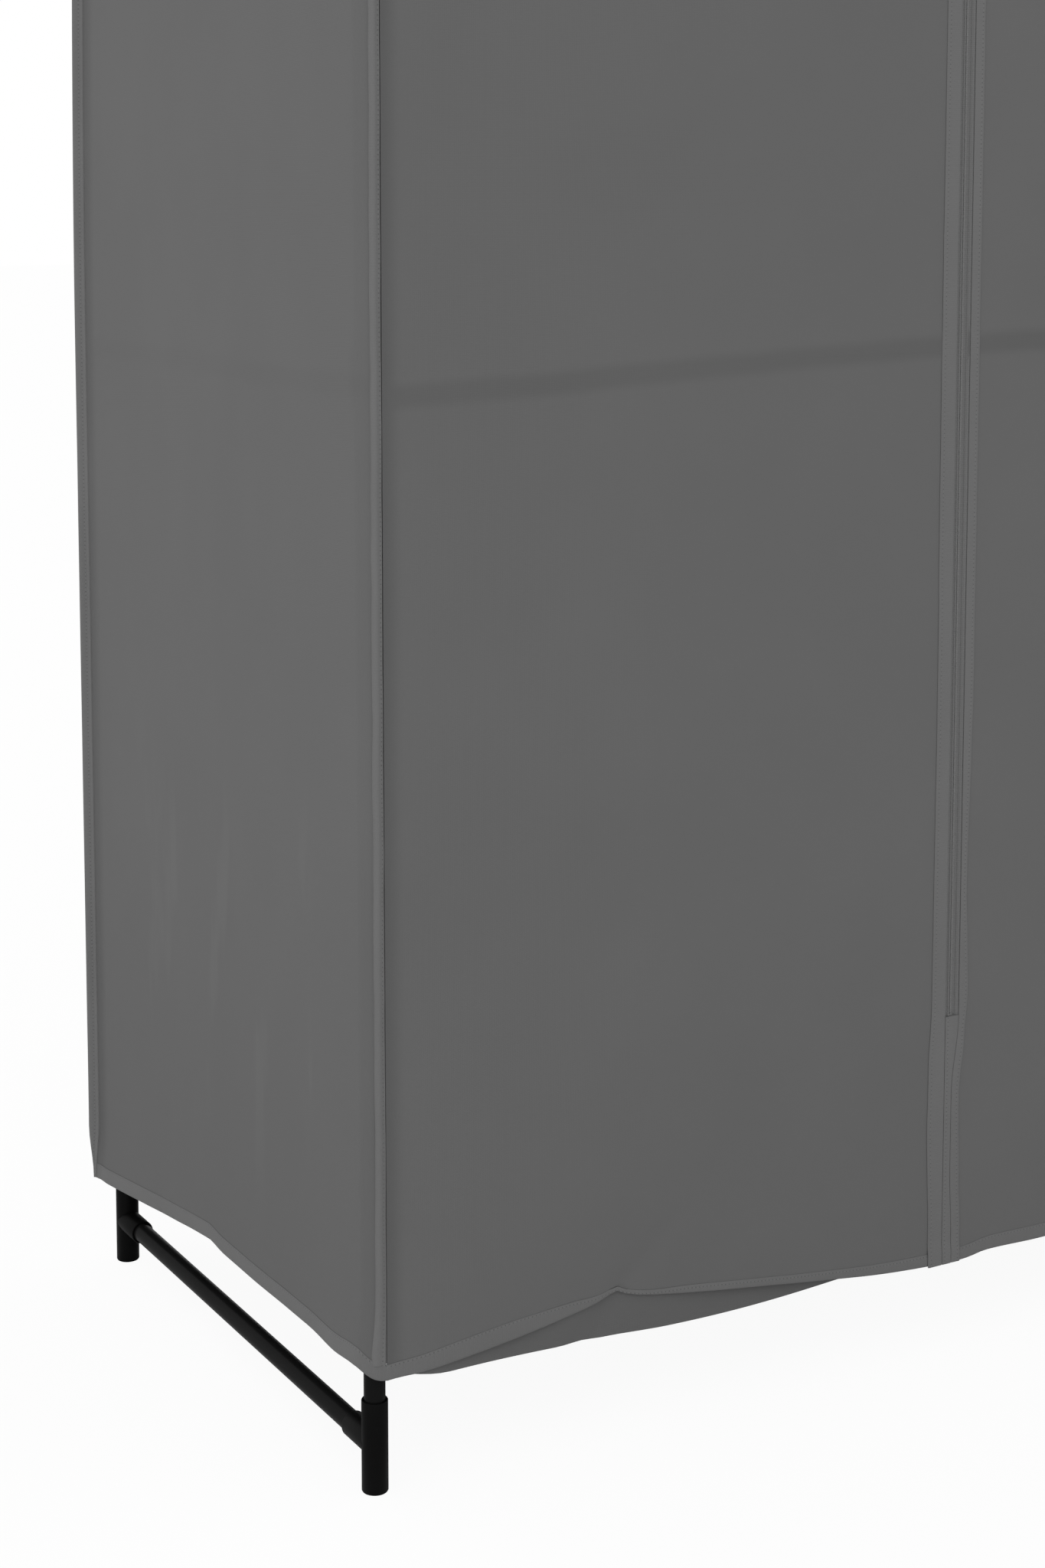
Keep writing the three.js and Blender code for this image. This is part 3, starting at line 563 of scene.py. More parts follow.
# Top panel. The same cloth. It lies on the top rails and on the hanging rail, is sewn into the
# tape round the top edge, and sags a little between the rails.
TOP_EDGE = WRAP - 1.5
TOP_REACH = LEG_WIDE + TOP_EDGE
TOP_Z = TOP + COLLAR + GAP + CLOTH / 2
TOP_SAG = 7.0

# How far the front cloth stands before the uprights' axes at its corner seams and between them,
# and the run over which it goes from one to the other.
FRONT_SEAM, FRONT_DEPTH = 12.0, 14.5
SEAM_FADE = 40.0


def top_place(x, v):
    """A place on the top, where v runs from -1 at the front to 1 at the back."""
    t = x / TOP_REACH
    if v < 0:
        off_corner = smooth_share((LEG_WIDE - 5 - abs(x)) / SEAM_FADE)
        edge = TOP_EDGE + (FRONT_DEPTH - 1.4 - TOP_EDGE) * off_corner
        edge *= min((1 - abs(t)) * TOP_REACH / TOP_EDGE, 1)
    else:
        edge = TOP_EDGE + 3 * smooth_share(1 - (LEG_WIDE + CORNER_OUT - abs(x)) / BACK_LOOSE)
    y = v * (LEG_DEEP + edge)
    sag = math.sin(math.pi * v) ** 2
    dip = TOP_SAG * (1 - t * t) - 0.8 * (1 - t ** 6) * ripple(x, y, 0, 90)
    return place_mm(x, y, TOP_Z - dip * sag)


top_columns = [-TOP_REACH] + spread(-LEG_WIDE, LEG_WIDE, 90) + [TOP_REACH]
top = sheet("top-cloth", top_columns, spread(-1, 1, 56), top_place, cover_cloth,
            ["top_panel"])

# Front cloth. Each half is one cut of the same cloth from the hem to the top edge, sewn at its corner
# seam, above the zip and below it, so the open half bows out between them. Here its two pieces meet at
# the middle rail.

# A half runs from its corner seam, with finer columns at first, to the zip's tape. It is free
# between two heights, and its pieces meet between them. Above its hem it bellies out a little.
FLAP_FROM = SEAM_IN + SEAM_PLAY
FINE_RUN = 45.0
ZIP_HALF = 5.5
ZIP_LOW, HEAD_LOW = 300.0, 1527.0
SPLIT = MID + 6
HEM_LEVEL, BELLY = 86.0, 5.0

# Where the hem is pinched up and goes in, where it lifts again and comes out, the crease above the
# pinch, and the two straight runs of the line on which the cloth touches the middle rail.
PINCH, PINCH_REACH, PINCH_DEEP = 203.0, 200.0, 8.0
LIFTED, LIFTED_REACH, LIFTED_OUT = 800.0, 170.0, 3.0
LOOSE_HEM = 90.0
CREASE_DEEP, CREASE_WIDE, CREASE_LOW, CREASE_TALL = 2.4, 12.0, 105.0, 110.0
RAIL_LEFT, RAIL_CLIMB = 800.5, 0.0475
RAIL_RIGHT, RAIL_FALL = 849.0, 0.036

# The hem's height, and the share of the hem tape's width that isn't turned under, at places along
# the front from the left upright to the right one.
HEM_LINE = (
    (-20, 88), (10, 87.6), (54, 89.9), (125, 97), (175, 104), (192, 107.8), (203, 110.6),
    (213, 106.8), (240, 101.6), (300, 93.8), (387, 83.4), (450, 75.8), (515, 71.6), (537, 72),
    (557, 74.6), (617, 73.5), (700, 77), (800, 90), (900, 84), (1020, 89.5), (1050, 88),
)
TAPE_SHOWN = (
    (-20, 0.85), (10, 0.9), (60, 1.08), (110, 1.08), (161, 0.76), (186, 0.42), (205, 0.28),
    (232, 0.3), (268, 0.47), (333, 0.52), (411, 0.6), (515, 0.8), (620, 0.9), (1050, 0.9),
)


def smooth_line(stops, value):
    """A smooth curve through stops of (place, height)."""
    i = max(k for k, stop in enumerate(stops[1:-2], 1) if k == 1 or stop[0] <= value)
    (_, a), (x0, b), (x1, c), (_, d) = stops[i - 1:i + 3]
    before = (c - a) / (x1 - stops[i - 1][0]) * (x1 - x0)
    after = (d - b) / (stops[i + 2][0] - x0) * (x1 - x0)
    t = (value - x0) / (x1 - x0)
    return (b + before * t + (3 * (c - b) - 2 * before - after) * t ** 2
            + (2 * (b - c) + before + after) * t ** 3)


def front_hem(s):
    return smooth_line(HEM_LINE, s)


def lift(s, place, reach):
    """1 at the place, falling steeply beside it to 0 at the end of its reach."""
    away = abs(s - place) / reach
    return (1 - away) ** 1.6 if away < 1 else 0.0


def front_fold(s, z, edge, across):
    """How far the small folds stand forward: the crease above the pinch, the unevenness of loose
    cloth, the ridge over the middle rail, and the groove beside a corner seam."""
    lean = (s - PINCH) - 0.9 * (z - front_hem(PINCH))
    fold = -CREASE_DEEP * near(lean, 0, CREASE_WIDE) * smooth_share(1 - (z - CREASE_LOW) / CREASE_TALL)
    fold += across * (1.3 * ripple(s, 0, z, 120) + 0.5 * ripple(s, 50, z, 45))
    ridge = min(RAIL_LEFT + RAIL_CLIMB * s, RAIL_RIGHT - RAIL_FALL * s)
    fold += 0.6 * smooth_share(edge / 30) * across ** 0.2 * near(z, ridge, 11)
    return fold - 1.1 * near(edge, GROOVE_IN, GROOVE_WIDE) * (0.7 + 0.5 * ripple(0, 9, z, 60))


def front_wall(s, z):
    """A place on the front, where s runs from the left upright's axis to the right one's."""
    edge = min(s - SEAM_IN, 2 * LEG_WIDE - SEAM_IN - s)
    depth = FRONT_SEAM + (FRONT_DEPTH - FRONT_SEAM) * smooth_share(edge / SEAM_FADE)
    across = math.sin(math.pi * abs(s - LEG_WIDE) / LEG_WIDE) ** 2
    share = (z - HEM_LEVEL) / (MID - HEM_LEVEL) if z < MID else (z - MID) / (WALL_TOP - MID)
    depth += BELLY * across * math.sin(math.pi * min(max(share, 0), 1))
    low = smooth_share(1 - (z - front_hem(s)) / LOOSE_HEM)
    depth -= PINCH_DEEP * lift(s, PINCH, PINCH_REACH) * low
    depth += LIFTED_OUT * lift(s, LIFTED, LIFTED_REACH) * low
    depth += front_fold(s, z, edge, across) * below_top(z)
    return place_mm(s - LEG_WIDE, -(LEG_DEEP + depth), z)


def front_rail(across):
    """The height of the band of painted rail shadow on the front, which creeps up from both sides to
    the zip.
    """
    climb = across * RAIL_CLIMB + RAIL_LEFT * MM
    return climb.least(RAIL_RIGHT * MM - across * RAIL_FALL)


def from_corner_seam(across):
    return across.least(2 * LEG_WIDE * MM - across)


def low_place(s, v):
    under_tape = front_hem(s) + HEM_BAND * smooth_line(TAPE_SHOWN, s) + GAP
    return front_wall(s, mix(under_tape, SPLIT, v))


def high_place(s, v):
    return front_wall(s, mix(SPLIT, WALL_TOP - GAP, v))


def flap_line(side, z):
    """The end at height z of a line along a half's seam."""
    return (side * (LEG_WIDE - FLAP_FROM) * MM, 0, z * MM)


# The front has a strong band of painted rail shadow and painted shade beside both corner seams.
front_cloth = spunbond("spunbond_front", 102, rail=0.36, seam_shade=0.55, rail_line=front_rail,
                       seam_gap=from_corner_seam)
front_cut = spread(FLAP_FROM, FINE_RUN, 12)
front_cut += spread(FINE_RUN, LEG_WIDE - ZIP_HALF - GAP, 76)[1:]
parts = (
    ("lower", 90, low_place, "front_skirt", ZIP_LOW, 0.72),
    ("upper", 76, high_place, "front_header", HEAD_LOW, 0.77),
)
for name, side in (("left", -1), ("right", 1)):
    columns = front_cut if side < 0 else [2 * LEG_WIDE - s for s in reversed(front_cut)]
    for part, rows, place, fixed_node, fixed, length in parts:
        half = sheet(f"front-cloth-{name}-{part}", columns, spread(0, 1, rows), place, front_cloth,
                     [f"front_flap_{name}", fixed_node], None)
        flap_line(side, fixed)
        flap_line(side, SPLIT)
        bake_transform(half)

# Inner facing. A strip of the same cloth, sewn behind the front's lower edge. Its straight edge
# shows where the hem lifts.
FACING_TOP, FACING_LOW, FACING_DROP = 190.0, 81.5, 8.5
FACING_FREE = 110.0
FACING_IN, FACING_END = 7.0, 15.1


def facing_place(s, v):
    """A place on the facing. It keeps close behind the front where it is sewn and at its ends,
    and hangs straight down between them."""
    inward = 1 - abs(s - LEG_WIDE) / LEG_WIDE
    low = FACING_LOW - FACING_DROP * math.sin(math.pi * inward ** 1.3) ** 2
    low += 8 * smooth_share(1 - inward * 9) + 1.5 * smooth_share(1 - inward * 4)
    z = mix(low, FACING_TOP, v)
    free = smooth_share((FACING_TOP - z) / (FACING_TOP - FACING_FREE))
    free *= smooth_share((inward - 0.03) * 4)
    sewn = front_wall(s, z).y / MM - LEGS_MIDDLE + CLOTH + 1.2
    return place_mm(s - LEG_WIDE, max(sewn, mix(sewn, -LEG_DEEP - FACING_IN, free)), z)


# The facing is the same cloth, its colour painted darker as the shade it hangs in behind the hem.
shaded_facing_cloth = spunbond("spunbond_facing_shaded", 97, rail=0.0)
facing = sheet("inner-facing", spread(FACING_END, 2 * LEG_WIDE - FACING_END, 120), spread(0, 1, 14),
               facing_place, shaded_facing_cloth, ["front_inner_facing"])

# Shelf. The same cloth, stretched from the front middle rail to the back one and wrapped down
# round both, with a slight sag between them.
SHELF_HALF = LEG_WIDE - 41
SHELF_REACH = TUBE + GAP + CLOTH / 2
SHELF_ARC = (math.pi / 2 + math.pi / 3) * SHELF_REACH
SHELF_SAG = 6.0


def shelf_place(s, v):
    flat = 2 * LEG_DEEP
    run = v * (flat + 2 * SHELF_ARC) - SHELF_ARC
    if 0 <= run <= flat:
        share = run / flat
        sag = 4 * SHELF_SAG * share * (1 - share) * (1 - 0.1 * ripple(s, run, 0, 130))
        return place_mm(s, run - LEG_DEEP, MID + SHELF_REACH - sag)
    past = -run if run < 0 else flat - run
    angle = math.pi / 2 + past / SHELF_REACH
    y = -LEG_DEEP if run < 0 else LEG_DEEP
    return place_mm(s, y + SHELF_REACH * math.cos(angle), MID + SHELF_REACH * math.sin(angle))


shelf_rows = spread(0, 0.048, 4) + spread(0.06, 0.94, 40) + spread(0.952, 1, 4)
shelf = sheet("shelf-cloth", spread(-SHELF_HALF, SHELF_HALF, 60), shelf_rows, shelf_place,
              cover_cloth, ["mid_shelf"])

# Front corner seams. The edges of two panels are folded into one woven tape and sewn through. It
# lies on the cloth round the upright, and its lower end goes under the hem tape.
STITCH, THREAD_HALF = 3.4, 0.45


def woven_tape(name, level, stitches, rib=1.1):
    """Ribbed tape. Its rows of stitches lie at these distances round its section, in
    millimetres."""
    tape = Finish(name)
    along, around, _ = tape.axes(tape.coords("UV"))
    ribs = (along * (2 * math.pi / (rib * MM))).wave()
    fibres = tape.noise(tape.coords("Object"), 1100, 3, 0.6)
    mottle = tape.noise(tape.coords("Object"), 14, 2)
    line = 0.0
    for place in stitches:
        line = line + (around - place * MM).size().below(THREAD_HALF * MM)
    dash = (along / (STITCH * MM)).part().below(0.72)
    shade = mottle * 0.55 + fibres * 0.3 + ribs * 0.1
    plain = tape.blend(shade, grey(level - 4), grey(level + 5))
    thread = tape.blend(dash, grey(level - 30), grey(level + 8))
    tape.surface({
        "Base Color": tape.blend(line * 0.6, plain, thread),
        "Roughness": 0.8 + fibres * 0.15,
        "Specular IOR Level": 0.3,
        "Sheen Weight": 0.05,
        "Normal": tape.bump(ribs * 0.35 + fibres * 0.4 + line * (dash * 2.5 - 1), 0.00012, 0.6),
    })
    return tape


def band(name, sections, path, finish, nodes, body="wardrobe", closed=False):
    """A section carried along a path. Each stop of the path is a place with the two directions
    that the (wide, high) points of its section are counted in, in millimetres."""
    bm = bmesh.new()
    sides, lengths = len(sections[0]), len(path) - (0 if closed else 1)
    bmesh.ops.create_grid(bm, x_segments=sides, y_segments=lengths, size=0.5)
    chart = bm.loops.layers.uv.new("UVMap")
    around, along = [], [0.0]
    for section in sections:
        run = [0.0]
        for (a, b), (c, d) in zip(section, section[1:] + section[:1]):
            run.append(run[-1] + math.hypot(c - a, d - b) * MM)
        around.append(run)
    for j in range(lengths):
        along.append(along[-1] + (path[(j + 1) % len(path)][0] - path[j][0]).length)
    spots = {}
    for vert in bm.verts:
        i, j = round((vert.co.x + 0.5) * sides), round((vert.co.y + 0.5) * lengths)
        place, out, up = path[j % len(path)]
        section = j % len(sections)
        wide, high = sections[section][i % sides]
        spots[vert] = (along[j], around[section][i])
        vert.co = place + out * (wide * MM) + up * (high * MM)
    for face in bm.faces:
        for loop in face.loops:
            loop[chart].uv = spots[loop.vert]
    bmesh.ops.remove_doubles(bm, verts=bm.verts, dist=0.000001)
    if not closed:
        bmesh.ops.holes_fill(bm, edges=bm.edges, sides=sides)
    bmesh.ops.recalc_face_normals(bm, faces=bm.faces)
    return finished(name, bm, finish, nodes, body, 50)


# The tape's outline as (wide, high) points: a base that goes under the front cloth, a firm edge
# beside it, and a swelling over the folded panel edges that thins out on the side.
LYING = (
    (0.4, -1.5), (-2.6, -1.5), (-2.6, -0.9), (-0.45, -0.85), (-0.15, -0.8), (0, 0.6), (0.2, 1.05),
    (0.55, 1.15), (1.0, 0.8), (1.9, 1.0), (3.0, 1.7), (4.2, 2.4), (5.3, 2.5), (6.3, 2.0),
    (7.1, 1.1), (7.6, 0.3), (7.8, -0.25), (5.6, -0.25), (3.6, 0), (0.5, 0),
)
SEAM_FACE = WRAP + CLOTH / 2 + GAP
SEAM_LOW = 100.2


def lying_section(flat, filled):
    """The tape's section, bent to the cloth round the upright. It is pressed flat near the hem,
    and its base fills the groove beside it more lower down."""
    points = []
    for wide, high in LYING:
        if -1 < wide < 0:
            high += 0.75 * filled
        elif 0 < wide < 1.5:
            high *= 1 - 0.4 * filled
        wide += max(wide, 0) * 0.3 * flat
        drop = math.sqrt(SEAM_FACE ** 2 - max(wide - SEAM_IN, 0) ** 2) - SEAM_FACE
        points.append((wide, max(high, 0) * (1 - 0.6 * flat) + min(high, 0) + drop))
    return points


seam_tape = woven_tape("seam_binding", 110, (8.8,))
forward = Vector((0, -1, 0))
for name, side in (("left", -1), ("right", 1)):
    path, sections = [], []
    for z in spread(SEAM_LOW, WALL_TOP - GAP, 160):
        tuck = smooth_share((150 - z) / 50)
        sway = 0.35 * ripple(side * 300, -70, z, 75) + 0.25 * ripple(0, 40, z, 24)
        x = LEG_WIDE - SEAM_IN + sway * (1 - tuck) + 0.8 * tuck
        turn = 0.05 * ripple(side * 90, -20, z, 110)
        out = Vector((side, -turn, 0)).normalized()
        path.append((place_mm(side * x, -(LEG_DEEP + SEAM_FACE), z), out, forward))
        filled = 0.3 + 0.7 * smooth_share((560 - z) / 300)
        sections.append(lying_section(tuck + 0.2 * ripple(7, side * 5, z, 31), filled))
    band(f"corner-seam-front-{name}", sections, path, seam_tape,
         [f"corner_binding_front_{name}"])

# Back corner seams. The same tape round the edges of a side and the back, sewn through. It stands
# off the loose corner as a fin, slants out to the side, and goes under the tapes at both ends.
FIN_LOW = HEM_CORNER + 1
FIN_UP, FIN_SIDEWAYS, FIN_BACKWARD = 0.8, 0.92, 0.39
FIN_FLANK = [
    (-2, 0.8), (-1.2, 1.0), (-0.7, 1.3), (0, 1.4), (0.7, 1.2), (1.6, 1.0), (4, 0.9), (7.4, 1.0),
    (8.2, 0.7),
]
fin_section = FIN_FLANK + [(8.5, 0)] + [(wide, -high) for wide, high in reversed(FIN_FLANK)]
# The fin's tape is the seam tape painted lighter: painted light on its face.
lit_fin_tape = woven_tape("seam_fin_painted_light", 118, (5.2,))
for name, side in (("left", -1), ("right", 1)):
    path, sections = [], []
    lean = Vector((side * FIN_SIDEWAYS, FIN_BACKWARD, 0))
    aside = Vector((-lean.y, lean.x, 0))
    for z in spread(FIN_LOW, WALL_TOP - GAP, 160):
        end = max(smooth_share((116 - z) / 48), 0.7 * smooth_share((z - WALL_TOP + 16) / 16))
        sway = 0.5 * ripple(side * 300, 70, z, 75) + 0.3 * ripple(0, 40, z, 24)
        place = place_mm(side * (LEG_WIDE + corner_out(z)), LEG_DEEP + corner_back(z), z)
        place += lean * (FIN_UP * MM) + aside * (sway * (1 - end) * MM)
        out = (lean + aside * (0.2 * ripple(side * 90, 20, z, 110))).normalized()
        path.append((place, out, Vector((-out.y, out.x, 0))))
        sections.append([(min(wide, wide * (1 - 0.8 * end)), high) for wide, high in fin_section])
    band(f"corner-seam-back-{name}", sections, path, lit_fin_tape,
         [f"corner_binding_back_{name}"])

# Hem tape and top tape. Woven tape like the seams', one length round the hem and one round the top
# edge, each folded over the cloth's raw edge and sewn through.
hem_tape = woven_tape("hem_binding", 107, (3.5, 28.4))
HEM_FLANK = [
    (0.55, 11.6), (0.58, 13.3), (0.75, 13.6), (0.95, 12.9), (1.15, 10), (1.15, 5), (1.2, 2.2),
    (1.0, 0.8), (0.5, 0.15),
]
hem_section = HEM_FLANK + [(0, 0)] + [(-out, high) for out, high in reversed(HEM_FLANK)]
TOP_FLANK = [(0.55, 0.6), (0.6, -0.9), (1.2, 0), (1.2, 4), (1.2, 7.6), (0.9, 8.9)]
TOP_BAND = 9.0
top_section = TOP_FLANK + [(0, 9.4)] + [(-out, high) for out, high in reversed(TOP_FLANK)]


def round_cover(front_at, side_at, back_at):
    """What each wall's own function gives at the stops of a loop round the cover."""
    far_run = 2 * LEG_WIDE - FINE_RUN
    columns = spread(FLAP_FROM, FINE_RUN, 6) + spread(FINE_RUN, far_run, 130)[1:]
    columns += spread(far_run, 2 * LEG_WIDE - FLAP_FROM, 6)[1:]
    stops = [front_at(s) for s in columns]
    stops += [side_at(1, s) for s in side_columns]
    stops += [back_at(t) for t in reversed(BACK_SHARES[1:-1])]
    stops += [side_at(-1, s) for s in reversed(side_columns)]
    return stops


def hem_stops(rise):
    return round_cover(
        lambda s: front_wall(s, front_hem(s) + rise),
        lambda side, s: side_wall(side, s, side_hem(s) + rise),
        lambda t: back_wall(t, back_hem(t) + rise),
    )


def level_stops(z):
    return round_cover(
        lambda s: front_wall(s, z), lambda side, s: side_wall(side, s, z), lambda t: back_wall(t, z)
    )


shown = round_cover(lambda s: smooth_line(TAPE_SHOWN, s), lambda side, s: 1, lambda t: 1)
hem_sections = [[(out, high * share) for out, high in hem_section] for share in shown]
hem_low, hem_high = hem_stops(0), hem_stops(HEM_BAND)
top_low, top_high = level_stops(WALL_TOP), level_stops(WALL_TOP + TOP_BAND)
loops = (
    ("hem-tape", "hem_binding", hem_sections, hem_low, hem_high),
    ("top-tape", "top_binding", [top_section], top_low, top_high),
)
for name, node, sections, lows, highs in loops:
    path = []
    for k, (low, high) in enumerate(zip(lows, highs)):
        along = lows[(k + 1) % len(lows)] - lows[k - 1]
        up = (high - low).normalized()
        path.append((low, along.cross(up).normalized(), up))
    band(name, sections, path, hem_tape, [node], closed=True)

# Zip. Two woven tapes with nylon coils meet in the middle of the front. A folded strip is sewn
# along each tape and on down to the hem, where it covers the seam below the zip.
STRIP_FRONT = LEG_DEEP + FRONT_DEPTH + CLOTH / 2 + GAP
STRIP_LOW = front_hem(LEG_WIDE) + 0.4
ZIP_TAPE_HALF = 0.4
COIL = LEG_DEEP + FRONT_DEPTH - CLOTH / 2 - GAP - ZIP_TAPE_HALF
STOP_LOW, STOP_HIGH = 279.0, 1573.0
# The coil's tooth pitch, the tape's twill pitch, and how far round the coil's section from its slit
# the colour is painted lighter.
TOOTH, TWILL, SLIT_LIGHT_RUN = 1.5, 0.9, 2.4

# Distances from the zip's middle at heights above the floor: the outer edge of the left strip and
# of the right one, and the right strip's inner edge, which crosses the seam below the zip.
LEFT_EDGE = ((100, 19.5), (190, 22.0), (240, 21.5), (290, 19.3), (540, 18.6), (725, 19.6))
RIGHT_EDGE = (
    (95, 13.2), (140, 11.5), (215, 10.0), (262, 14.5), (300, 17.5), (390, 14.5), (560, 17.8),
)
SEAM_LINE = ((95, 3.5), (150, 1.5), (215, 1.5), (279, 7.9))

rightward = Vector((1, 0, 0))
strip_cloth = woven_tape("zip_facing", 109, (3.2,), 1.6)
zip_tape = Finish("zip_tape")
along, around, _ = zip_tape.axes(zip_tape.coords("UV"))
teeth = (along * (2 * math.pi / (TOOTH * MM))).wave()
twill = ((along + around) * (2 * math.pi / (TWILL * MM))).wave()
fuzz = zip_tape.noise(zip_tape.coords("Object"), 1300, 2)
# Painted light: the coil's slit walls are coloured lighter, to offset the shade in the slit.
slit_light = around.below(SLIT_LIGHT_RUN * MM)
coil_shade = zip_tape.blend(fuzz * 0.6 + teeth * 0.2 + 0.1, grey(106), grey(118))
zip_tape.surface({
    "Base Color": zip_tape.blend(slit_light, coil_shade, grey(145)),
    "Roughness": 0.66 + fuzz * 0.2,
    "Specular IOR Level": 0.3,
    "Normal": zip_tape.bump(teeth * 0.8 + twill * 0.3 + fuzz * 0.3, 0.00015, 0.6),
})


def follow(stops, z):
    """The value at height z between rounded stops of (height, value)."""
    for (low, a), (high, b) in zip(stops, stops[1:]):
        if z < high:
            return mix(a, b, smooth_share((z - low) / (high - low)))
    return stops[-1][1]


def strip_section(side, inner, outer):
    """A strip of folded cloth from its outer, stitched edge to its edge beside the zip."""
    points = [
        (outer, 0), (outer, 0.2), (outer - 0.4, 0.5), (outer - 1.6, 1.0), (outer - 3, 0.8),
        ((inner + outer) / 2, 0.75), (inner + 2, 0.75), (inner + 0.6, 0.65), (inner, 0.35),
        (inner + 0.05, 0),
    ]
    return [(side * x, y) for x, y in points]


def strip_at(side, z):
    uneven = 0.45 * ripple(side * 30, 12, z, 95) + 0.3 * ripple(side * 30, 31, z, 33)
    if side < 0:
        return strip_section(side, ZIP_HALF + 0.3 * uneven, follow(LEFT_EDGE, z) + uneven)
    inner = follow(SEAM_LINE, z) + 0.5
    return strip_section(side, inner, max(follow(RIGHT_EDGE, z) + uneven, inner + 5))


def coil_section(side):
    """Half of the zip: its coil, a bead of cloth sewn along the tape, and the flat tape itself.
    The right half's bead is wider."""
    bead = [(4.75, 1.5), (5.1, 1.8)] if side < 0 else [(5.1, 1.5), (6.5, 1.75), (8.1, 1.8)]
    edge = bead[-1][0]
    points = [
        (0.64, -1.3), (0.64, 0.95), (0.95, 1.3), (1.9, 1.3), (2.3, 0.9), (2.4, 0.55), (4.7, 0.55),
        *bead, (edge + 0.5, 1.6), (edge + 0.7, 0.5), (14.9, ZIP_TAPE_HALF),
        (14.9, -ZIP_TAPE_HALF), (2.4, -ZIP_TAPE_HALF), (2.3, -0.9), (1.9, -1.3),
    ]
    return [(side * x, y) for x, y in points]


def standing(heights, depth):
    """A straight upright path. Low down it steps out over the hem tape."""
    outs = [depth + 0.9 * smooth_share((STRIP_LOW + 17 - z) / 6) for z in heights]
    return [(place_mm(0, -out, z), rightward, forward) for z, out in zip(heights, outs)]


halves = (
    ("lower", "skirt_seam_cover", "zip_bottom_end", STRIP_LOW, STOP_LOW, ZIP_LOW),
    ("upper", "front_header", "zip_top_end", WALL_TOP - GAP, STOP_HIGH + 3, HEAD_LOW),
)
for name, side in (("left", -1), ("right", 1)):
    for part, strip_node, tape_node, strip_end, tape_end, fixed in halves:
        heights = sorted(spread(strip_end, SPLIT, 130))
        strip = band(f"zip-strip-{name}-{part}", [strip_at(side, z) for z in heights],
                     standing(heights, STRIP_FRONT), strip_cloth,
                     [f"zip_facing_{name}", strip_node], None)
        heights = sorted(spread(tape_end, SPLIT, 60))
        tape = band(f"zip-coil-{name}-{part}", [coil_section(side)], standing(heights, COIL),
                    zip_tape, [f"zip_tape_{name}", tape_node], None)
        for piece in (strip, tape):
            flap_line(side, fixed)
            flap_line(side, SPLIT)
            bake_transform(piece)

# Seam tabs. Below the zip and above it, a strip of the same folded cloth closes the seam between
# the two facing strips. A tongue of it goes under the right strip.
TAB_TOP = 279.8


def tab(name, heights, node):
    sections = []
    for z in heights:
        right = follow(SEAM_LINE, z)
        under = min(right + 1.7, 5.4)
        sections.append([
            (-5.45, -0.05), (-5.2, 0), (-5.3, 0.5), (-4.9, 0.85), (0, 0.9), (right - 0.5, 0.85),
            (right + 0.1, 0.5), (right + 0.1, 0), (under, -0.25), (under, -0.8), (-5.45, -0.8),
        ])
    band(name, sections, standing(heights, STRIP_FRONT), strip_cloth, [node])


tab("seam-tab", spread(STRIP_LOW, TAB_TOP, 60), "skirt_seam_cover")
tab("zip-top-tab", spread(STOP_HIGH + 4, WALL_TOP - GAP, 6), "front_header")

# Slider, pull and zip ends. The slider and its pull are die cast and enamelled dark grey. The
# slider runs on the coils between two sewn blocks of cloth, and the pull swings on its bridge.
enamel = Finish("dark_enamel")
spot = enamel.coords("Object")
worn = enamel.ramp(enamel.noise(spot, 700, 4), 0.58, 0.72)
enamel.surface({
    "Base Color": enamel.blend(worn * 0.6, grey(70), grey(118)),
    "Metallic": 0.7 + worn * 0.2,
    "Roughness": 0.36 + enamel.noise(spot, 900, 2) * 0.16,
    "Normal": enamel.bump(enamel.noise(spot, 1600, 2), 0.00003, 0.5),
})
for node, body in (("zip_slider", "slider"), ("zip_pull", "pull")):
    bm = bmesh.new()
    bm.from_mesh(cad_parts[node].data)
    bmesh.ops.remove_doubles(bm, verts=bm.verts, dist=0.00001)
    finished(node.replace("_", "-") + "-cast", bm, enamel, [node], body, 30)

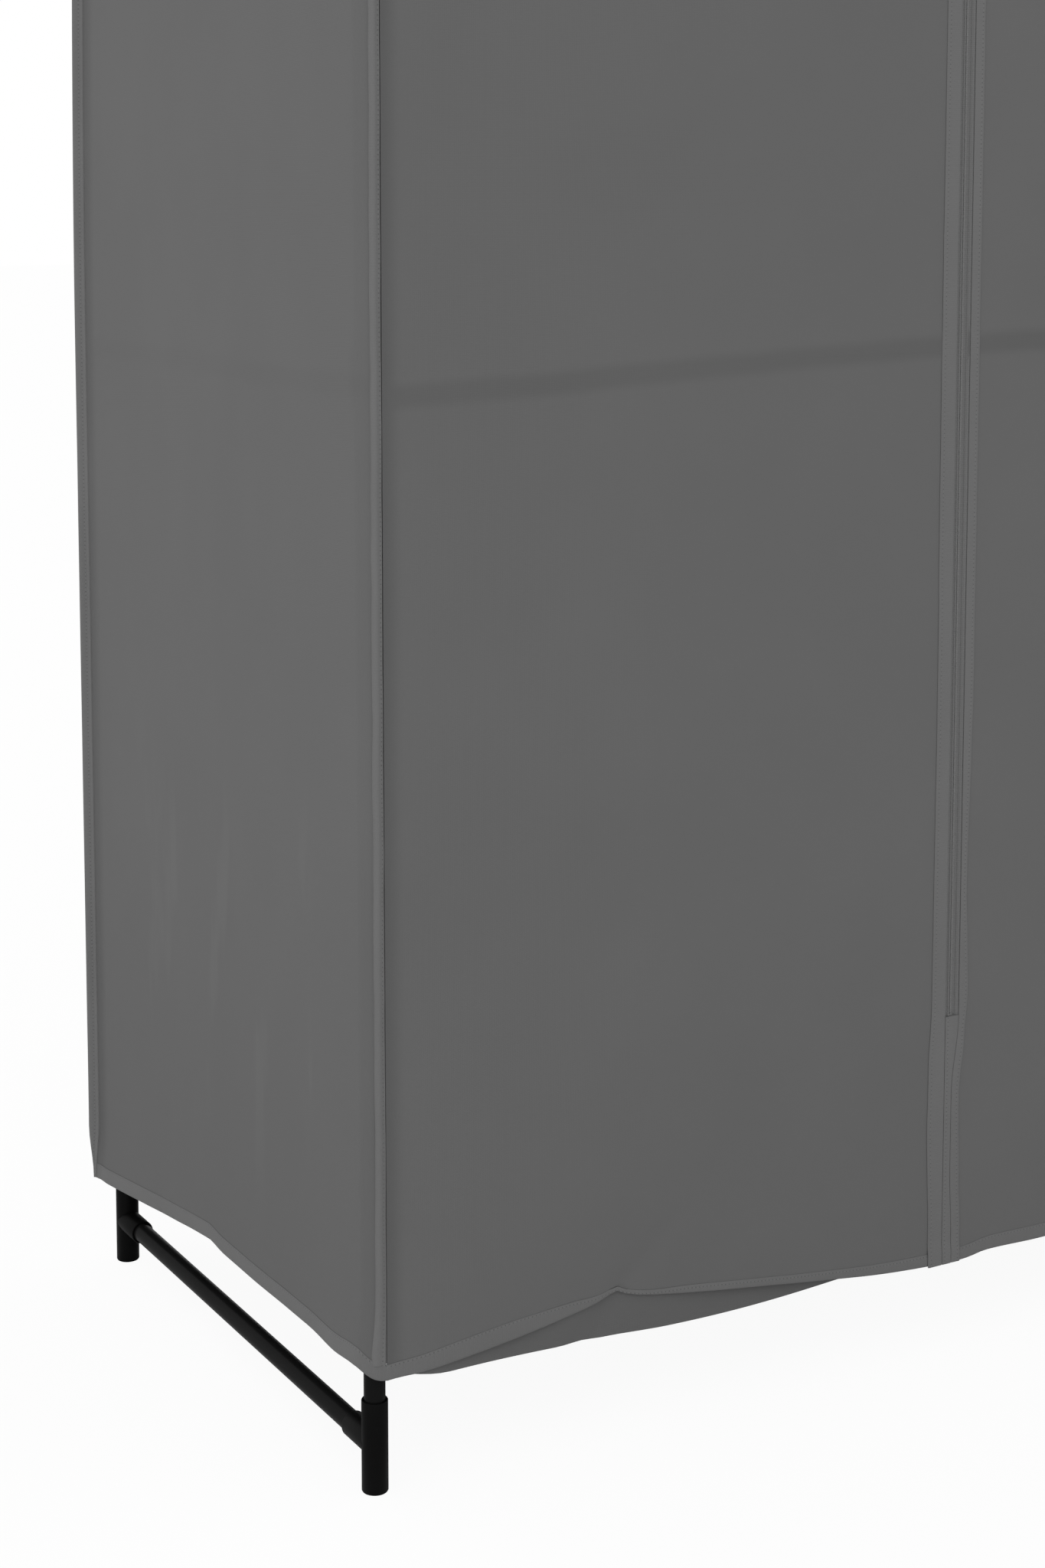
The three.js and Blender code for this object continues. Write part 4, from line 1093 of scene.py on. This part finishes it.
END_WIDE, END_DEEP, END_HIGH = 5.0, 2.8, 1.9
for name, low, node in (("bottom", STOP_LOW, "zip_bottom_end"), ("top", STOP_HIGH, "zip_top_end")):
    bm = bmesh.new()
    block = bmesh.ops.create_cube(bm, size=1)
    shape = Matrix.Diagonal((END_WIDE * MM, END_DEEP * MM, END_HIGH * MM, 1))
    middle = Matrix.Translation(place_mm(0, -COIL, low + 1.5))
    bmesh.ops.transform(bm, matrix=middle @ shape, verts=block["verts"])
    bmesh.ops.bevel(bm, geom=bm.edges[:], offset=0.5 * MM, affect="EDGES", segments=3,
                    profile=0.5, material=-1)
    finished(f"zip-stop-{name}", bm, strip_cloth, [node])

# Floor and light. A plain white floor that keeps a faint shadow, an even white surround, and one
# large soft lamp high on the left.
floor_paint = Finish("white_floor")
seen = floor_paint.node("ShaderNodeLightPath")
plain = floor_paint.node("ShaderNodeBsdfDiffuse", None, {"Color": grey(245)})
white = floor_paint.node("ShaderNodeEmission", None, {"Color": (1, 1, 1, 1), "Strength": 1.01})
floor_paint.ends_in(floor_paint.node("ShaderNodeMixShader", None, [seen * 0.93, plain, white]))
bm = bmesh.new()
bmesh.ops.create_grid(bm, x_segments=1, y_segments=1, size=30)
floor_mesh = bpy.data.meshes.new("floor")
bm.to_mesh(floor_mesh)
bm.free()
floor_mesh.materials.append(floor_paint.material)
floor = bpy.data.objects.new("floor", floor_mesh)
bpy.context.scene.collection.objects.link(floor)

world = bpy.data.worlds.new("surround")
world.use_nodes = True
bpy.context.scene.world = world
tree = world.node_tree
tree.nodes.clear()
rays = tree.nodes.new("ShaderNodeLightPath")
light = tree.nodes.new("ShaderNodeBackground")
light.inputs["Strength"].default_value = 0.79
backdrop = tree.nodes.new("ShaderNodeBackground")
backdrop.inputs["Strength"].default_value = 1.0
for shade in (light, backdrop):
    shade.inputs["Color"].default_value = (1, 1, 1, 1)
choose = tree.nodes.new("ShaderNodeMixShader")
end = tree.nodes.new("ShaderNodeOutputWorld")
tree.links.new(rays.outputs["Is Camera Ray"], choose.inputs[0])
tree.links.new(light.outputs[0], choose.inputs[1])
tree.links.new(backdrop.outputs[0], choose.inputs[2])
tree.links.new(choose.outputs[0], end.inputs["Surface"])

lamp = bpy.data.objects.new("soft_lamp", bpy.data.lights.new("soft_lamp", "AREA"))
lamp.data.shape = "SQUARE"
lamp.data.size = 2.4
lamp.data.energy = 33
lamp.location = (-3.2, -2.6, 3.0)
lamp.rotation_euler = (Vector((0, 0, 0.8)) - lamp.location).to_track_quat("-Z", "Y").to_euler()
bpy.context.scene.collection.objects.link(lamp)

bpy.context.scene.view_settings.view_transform = "Standard"
